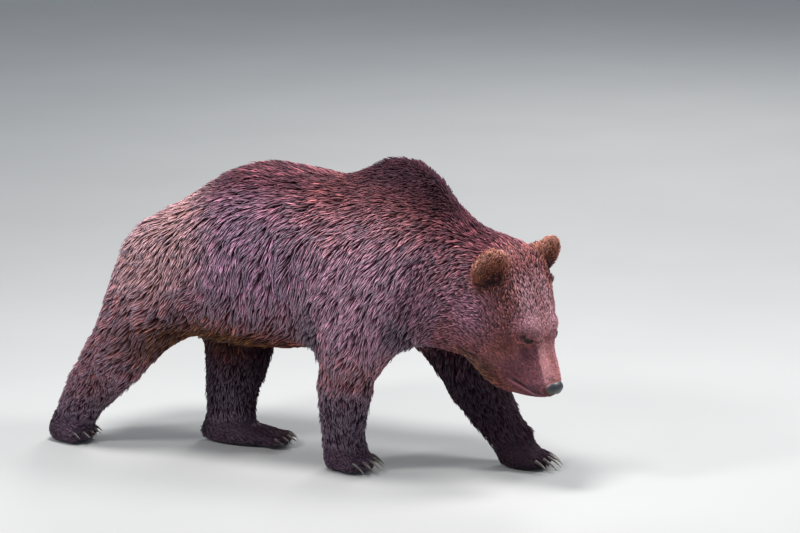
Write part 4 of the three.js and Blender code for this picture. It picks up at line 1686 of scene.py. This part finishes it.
@dataclass(frozen=True)
class Coat:
    """The bear's fur, in joined tufts."""

    plan: CoatPlan = CoatPlan()
    limit: int = 190_000
    patch: float = 0.003
    swirl: float = 0.22
    brightest: float = 0.6
    nap_length: float = 0.012
    lowest: float = 0.0008
    seed: int = 21

    def spread(
        self, roots: Roots, shape: TuftShape, rng: np.random.Generator
    ) -> tuple[np.ndarray, np.ndarray]:
        """The tufts' vertices.

        Args:
            roots: the roots.
            shape: the tufts' shape.
            rng: random numbers.
        Returns:
            The vertices, tuft by tuft, and each vertex's colour.
        """
        count = len(roots.point)
        n = roots.normal
        side = np.cross(n, roots.lie)
        turn = self.swirl * ripple(roots.point, 0.11, 3) + rng.normal(0.0, 1.0, count) * roots.stray
        way = roots.lie * np.cos(turn)[:, None] + side * np.sin(turn)[:, None]
        side = np.cross(n, way)
        length = roots.length * rng.uniform(0.72, 1.15, count) * (1.0 + 0.15 * ripple(roots.point, 0.09, 5))
        rise = roots.rise * rng.uniform(0.35, 1.05, count)
        curl = length * rng.normal(0.0, 0.1, count)
        t = np.array((*shape.rings, 1.0))
        line = (
            (roots.point - n * shape.bed)[:, None, :]
            + (way * length[:, None])[:, None, :] * t[None, :, None]
            + (n * rise[:, None])[:, None, :] * (1.0 - (1.0 - t) ** 2)[None, :, None]
            + (side * curl[:, None])[:, None, :] * (t**2)[None, :, None]
        )
        line, lock = self.gather(roots, line, t, rng)
        ahead = unit(np.diff(np.concatenate([line, 2 * line[:, -1:] - line[:, -2:-1]], 1), axis=1))
        up = unit(n[:, None, :] - ahead * (ahead * n[:, None, :]).sum(2, keepdims=True))
        across = np.cross(up, ahead)
        roll = rng.uniform(-0.5, 0.5, count)
        angles = np.radians([90.0, 210.0, 330.0])[None, :] + roll[:, None]
        half = roots.width * rng.uniform(0.4, 0.62, count)
        rings = []
        for k, full in enumerate(shape.fullness):
            flat = np.cos(angles)[..., None] * across[:, k, None, :]
            tall = np.sin(angles)[..., None] * up[:, k, None, :] * 0.62
            rings.append(line[:, k, None, :] + (flat + tall) * (half * full)[:, None, None])
        vertices = np.concatenate([*rings, line[:, -1:, :]], 1)
        vertices[..., 2] = np.maximum(vertices[..., 2], self.lowest)
        patches = 0.12 * ripple(roots.point, 0.05, 8)
        shade = np.exp(rng.normal(0.0, 1.0, count) * roots.uneven + lock + patches)
        shade = np.minimum(shade, self.brightest / roots.colour.max(1))
        colour = np.repeat(roots.colour * shade[:, None], vertices.shape[1], axis=0)
        return vertices.reshape(-1, 3), colour

    def gather(
        self, roots: Roots, line: np.ndarray, t: np.ndarray, rng: np.random.Generator
    ) -> tuple[np.ndarray, np.ndarray]:
        """Draws each tuft to its lock's own line, most at the tip, and gives each lock a tone.

        Args:
            roots: the roots.
            line: each tuft's middle line.
            t: how far along the tuft each of its points is, from 0 to 1.
            rng: random numbers.
        Returns:
            The lines after the change, and each tuft's tone.
        """
        count = len(line)
        heads = rng.choice(count, max(1, count // (9 if len(t) == 3 else 4)), replace=False)
        tree = KDTree(len(heads))
        for i, row in enumerate(heads):
            tree.insert(roots.point[row], i)
        tree.balance()
        own = heads[np.array([tree.find(Vector(p))[1] for p in roots.point])]
        pull = roots.clump[:, None] * t[None, :] ** 1.5
        near = np.linalg.norm(line[own, -1] - line[:, -1], axis=1) < 0.045
        tone = (rng.normal(0.0, 0.95, count) * roots.uneven)[own]
        return line + (line[own] - line) * (pull * near[:, None])[..., None], tone

    def mesh(self, name: str, roots: Roots, shape: TuftShape, rng: np.random.Generator) -> bpy.types.Mesh:
        """One joined mesh of tufts, with its two maps and its colours.

        Args:
            name: the mesh's name.
            roots: the roots.
            shape: the tufts' shape.
            rng: random numbers.
        Returns:
            The mesh.
        """
        vertices, colour = self.spread(roots, shape, rng)
        count = len(roots.point)
        each = len(vertices) // count
        faces = shape.faces
        corner = np.concatenate([np.array(face) for face in faces])
        size = np.array([len(face) for face in faces])
        loops = (corner[None, :] + each * np.arange(count)[:, None]).ravel()
        first = np.concatenate([[0], np.cumsum(size)[:-1]])
        starts = (first[None, :] + len(corner) * np.arange(count)[:, None]).ravel()
        mesh = bpy.data.meshes.new(name)
        mesh.vertices.add(len(vertices))
        mesh.loops.add(len(loops))
        mesh.polygons.add(len(starts))
        mesh.vertices.foreach_set("co", vertices.astype(np.float32).ravel())
        mesh.loops.foreach_set("vertex_index", loops.astype(np.int32))
        mesh.polygons.foreach_set("loop_start", starts.astype(np.int32))
        mesh.update(calc_edges=True)
        spots = np.tile(shape.strand, (count, 1))
        pick = np.repeat(rng.integers(0, 60, count).astype(float), len(corner))
        strand = spots + np.stack([pick, np.zeros(len(pick))], 1)
        bake = np.repeat(roots.spot, len(corner), axis=0) + (spots - 0.5) * self.patch
        for title, values in (("OFBake", np.clip(bake, 0.0, 1.0)), ("strand", strand)):
            layer = mesh.uv_layers.new(name=title)
            layer.uv.foreach_set("vector", values.astype(np.float32).ravel())
        paint(mesh, "coat_colour", colour)
        paint(mesh, "frost", np.repeat(roots.frost, each))
        mesh.shade_smooth()
        return mesh

    def grow(self, roots: Roots, finishes: dict[Part, bpy.types.Material], nap: bpy.types.Material) -> None:
        """Grows every tuft and puts the pieces in the scene.

        Args:
            roots: the roots.
            finishes: the finish of each part's tufts.
            nap: the finish of the short tufts.
        """
        rng = np.random.default_rng(self.seed)
        total = 0
        for part in PARTS:
            rows = np.flatnonzero(roots.part == PARTS.index(part))
            short = roots.length[rows] * rng.uniform(0.75, 1.3, len(rows)) < self.nap_length
            kinds = ((LONG_TUFT, rows[~short], "coat"), (SHORT_TUFT, rows[short], "nap"))
            for shape, these, title in kinds:
                if not len(these):
                    continue
                triangles = sum(len(face) - 2 for face in shape.faces)
                pieces = math.ceil(len(these) * triangles / self.limit)
                for index, chunk in enumerate(np.array_split(these, pieces), 1):
                    name = f"{title}_{part.value}_{index}"
                    obj = link(name, self.mesh(name, roots.take(chunk), shape, rng))
                    obj.data.materials.append(finishes[part] if shape is LONG_TUFT else nap)
                    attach(obj, "root")
                    total += len(chunk) * triangles
                    log.info("%s: %d tufts", name, len(chunk))
        log.info("coat: %d triangles", total)


# ---------------------------------------------------------------- eyes, nose and claws


@dataclass(frozen=True)
class Eye:
    """An eyeball with a clear bulge over its iris."""

    side: str
    bulge: float = 0.0011

    def build(self, finish: EyeFinish) -> bpy.types.Object:
        """Models the eye in its node's place.

        Args:
            finish: the eye's finish.
        Returns:
            The eye's object.
        """
        seat = EyeSeat(self.side)
        centre = Vector(centre_of(f"eye_{self.side}"))
        gaze = Vector(HEAD.direction((0.5, 0.8 * SIDES[self.side], 0.3)))
        turn = gaze.to_track_quat("Z", "Y").to_matrix().to_4x4()
        bm = bmesh.new()
        bmesh.ops.create_uvsphere(bm, u_segments=48, v_segments=32, radius=seat.radius * HEAD.scale * MM)
        angle = [v.co.angle(Vector((0.0, 0.0, 1.0))) for v in bm.verts]
        for v, a in zip(bm.verts, angle):
            v.co += v.co.normalized() * self.bulge * float(1.0 - ease(0.3, 0.75, np.array(a)))
        bmesh.ops.transform(bm, matrix=Matrix.Translation(centre) @ turn, verts=bm.verts)
        mesh = mesh_of(bm, f"eyeball_{self.side}")
        paint(mesh, "gaze", np.array(angle) / (math.pi / 2.0))
        mesh.shade_smooth()
        obj = link(f"eyeball_{self.side}", mesh)
        mesh.materials.append(finish.make())
        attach(obj, "root")
        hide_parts(f"eye_{self.side}")
        return obj


@dataclass(frozen=True)
class NosePad:
    """The bare nose: a broad pad with two comma nostrils and a groove between them."""

    at: tuple[float, float, float] = (368.0, 0.0, -2.0)
    radii: tuple[float, float, float] = (20.0, 31.0, 24.0)
    nostril: tuple[float, float] = (13.5, -3.0)
    hole: float = 6.2
    deep: float = 13.0

    def build(self, finish: NoseFinish) -> bpy.types.Object:
        """Models the pad.

        Args:
            finish: the nose's finish.
        Returns:
            The pad's object.
        """
        bm = bmesh.new()
        bmesh.ops.create_uvsphere(bm, u_segments=96, v_segments=72, radius=1.0)
        bmesh.ops.rotate(bm, cent=(0, 0, 0), matrix=Matrix.Rotation(math.pi / 2, 3, "Y"), verts=bm.verts)
        mesh = mesh_of(bm, "nose_pad")
        u = coordinates(mesh)
        local = np.sign(u) * np.abs(u) ** 0.88 * np.array(self.radii)
        x, y, z = local.T
        front = ease(-0.2, 0.5, u[:, 0])
        low = ease(2.0, -16.0, z)
        x = x - 3.5 * low * front
        y = y * (1.0 - 0.3 * low)
        y0, z0 = self.nostril
        away = np.hypot(np.abs(y) - y0, (z - z0) * 1.15)
        wing_y, wing_z = np.abs(y) - y0 - 5.0, z - z0 - 1.0 + 0.25 * (np.abs(y) - y0 - 5.0)
        wing = np.hypot(np.clip(np.abs(wing_y) - 6.5, 0.0, None), wing_z * 2.1)
        pit = np.maximum(1.0 - ease(self.hole * 0.55, self.hole, away), 1.0 - ease(1.4, 4.4, wing))
        pit = pit * front
        rim = np.exp(-(((away - self.hole - 1.6) / 1.8) ** 2)) * front * (1.0 - pit)
        groove = np.exp(-((y / 1.7) ** 2)) * front * ease(8.0, 0.0, z)
        x = x - self.deep * pit + 1.3 * rim - 2.2 * groove
        place_vertices(mesh, HEAD.outward(np.stack([x, y, z], 1) + np.array(self.at)))
        paint(mesh, "pit", np.clip(pit * 1.2, 0.0, 1.0))
        mesh.shade_smooth()
        obj = link("nose_pad", mesh)
        mesh.materials.append(finish.make())
        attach(obj, "root")
        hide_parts("nose")
        return obj


@dataclass(frozen=True)
class Claws:
    """The five claws of one paw, made round and smooth."""

    limb: str
    levels: int = 2

    def build(self, claws: Sequence[ClawNode], nodes: NodeTable, material: bpy.types.Material) -> None:
        """Models the claws in their nodes' place.

        Args:
            claws: the paw's claws.
            nodes: the frame's nodes.
            material: the horn.
        """
        bm = bmesh.new()
        reach_layer = bm.verts.layers.float.new("reach")
        for claw in claws:
            for v in add_node(bm, nodes[claw.name]):
                v[reach_layer] = float(np.dot(np.array(v.co) - claw.root, claw.way) / claw.reach)
        mesh = mesh_of(bm, f"claws_{self.limb}")
        mesh.shade_smooth()
        obj = link(f"claws_{self.limb}", mesh)
        mesh.materials.append(material)
        smooth = obj.modifiers.new("round", "SUBSURF")
        smooth.levels = smooth.render_levels = self.levels
        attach(obj, "root")
        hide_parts(*(claw.name for claw in claws))


# ---------------------------------------------------------------- the studio


@dataclass(frozen=True)
class Studio:
    """A pale floor, soft lights and the camera."""

    target: tuple[float, float, float] = (0.2909, 0.0033, 0.622)
    azimuth: float = 23.0
    elevation: float = 12.0
    distance: float = 10.0
    lens: float = 147.6

    def camera(self) -> None:
        """Makes the camera."""
        a, e = math.radians(self.azimuth), math.radians(self.elevation)
        back = Vector((math.sin(a) * math.cos(e), -math.cos(a) * math.cos(e), math.sin(e)))
        data = bpy.data.cameras.new("camera")
        data.lens, data.sensor_width, data.clip_end = self.lens, 36.0, 60.0
        camera = bpy.data.objects.new("camera", data)
        camera.location = Vector(self.target) + back * self.distance
        camera.rotation_euler = back.to_track_quat("Z", "Y").to_euler()
        bpy.context.scene.collection.objects.link(camera)
        bpy.context.scene.camera = camera

    def floor(self) -> None:
        """Makes the floor."""
        bm = bmesh.new()
        bmesh.ops.create_circle(bm, cap_ends=True, segments=96, radius=14.0)
        mesh = mesh_of(bm, "floor")
        material, n, shader = new_material("floor")
        cloud = n.add("ShaderNodeTexNoise", in_Vector=n.place(), in_Scale=1.4, in_Detail=4.0).outputs["Fac"]
        tone = n.blend("MIX", cloud, (0.36, 0.355, 0.345, 1.0), (0.4, 0.395, 0.385, 1.0))
        n.dress(shader, Base_Color=tone, Roughness=0.85)
        obj = link("floor", mesh)
        mesh.materials.append(material)

    def lights(self) -> None:
        """Makes the lights and the pale surround."""
        bpy.context.scene.view_settings.view_transform = "Standard"
        world = bpy.data.worlds.new("surround")
        world.use_nodes = True
        sky = world.node_tree.nodes["Background"]
        sky.inputs["Color"].default_value = (0.78, 0.87, 1.0, 1.0)
        sky.inputs["Strength"].default_value = 0.5
        bpy.context.scene.world = world
        for name, at, aim, size, watts in (
            ("overhead", (0.0, -0.8, 4.2), (0.1, 0.0, 0.5), 1.2, 190.0),
            ("key", (-2.6, -3.6, 3.8), (0.2, 0.0, 0.6), 1.0, 160.0),
            ("crown", (2.8, 1.4, 3.8), (0.6, 0.0, 0.6), 1.6, 135.0),
            ("back", (-0.5, 6.5, 5.0), (-0.3, 2.6, 0.0), 3.0, 260.0),
        ):
            data = bpy.data.lights.new(name, "AREA")
            data.shape, data.size, data.energy = "DISK", size, watts
            light = bpy.data.objects.new(name, data)
            light.location = at
            light.rotation_euler = (Vector(at) - Vector(aim)).to_track_quat("Z", "Y").to_euler()
            bpy.context.scene.collection.objects.link(light)

    def build(self) -> None:
        """Makes the camera, the floor and the lights."""
        self.camera()
        self.floor()
        self.lights()


# ---------------------------------------------------------------- assembly


def main() -> None:
    """Builds the bear, piece by piece."""
    logging.basicConfig(level=logging.INFO, format="%(message)s")
    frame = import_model()
    Studio().build()
    nodes = frame["nodes"]
    claws = {
        limb: [ClawNode.read(n, nodes[n].data) for n in sorted(nodes) if n.startswith(f"{limb}_claw")]
        for limb in LIMBS
    }
    apart = ("eye", "nose", "claw")
    flesh = [n for n in sorted(nodes) if not any(word in n for word in apart)]
    groups, markings = Groups(), Markings()

    skin = Skin()
    skin.build(flesh, nodes, [claw for row in claws.values() for claw in row])
    body = skin.finish(markings, SkinFinish(), groups)
    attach(body, "root")
    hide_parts(*flesh)
    log.info("skin: %d vertices", len(skin.mesh.vertices))

    spots = skin.unwrap(body)
    colour = markings.at(coordinates(skin.mesh), normals(skin.mesh), skin.share)
    coat = Coat()
    kinds = (BODY_COAT, HEAD_COAT, EAR_COAT, NAP)
    body_coat, head_coat, ear_coat, nap = (kind.make(groups) for kind in kinds)
    finishes = {part: head_coat if STYLES[part].slot == "head" else body_coat for part in PARTS}
    finishes[Part.EAR] = ear_coat
    coat.grow(coat.plan.sow(skin, spots, colour), finishes, nap)

    for side in SIDES:
        Eye(side).build(EyeFinish())
    NosePad().build(NoseFinish())
    horn = ClawFinish().make()
    for limb in LIMBS:
        Claws(limb).build(claws[limb], nodes, horn)
    log.info("eyes, nose and claws are in place")


if __name__ == "__main__":
    main()
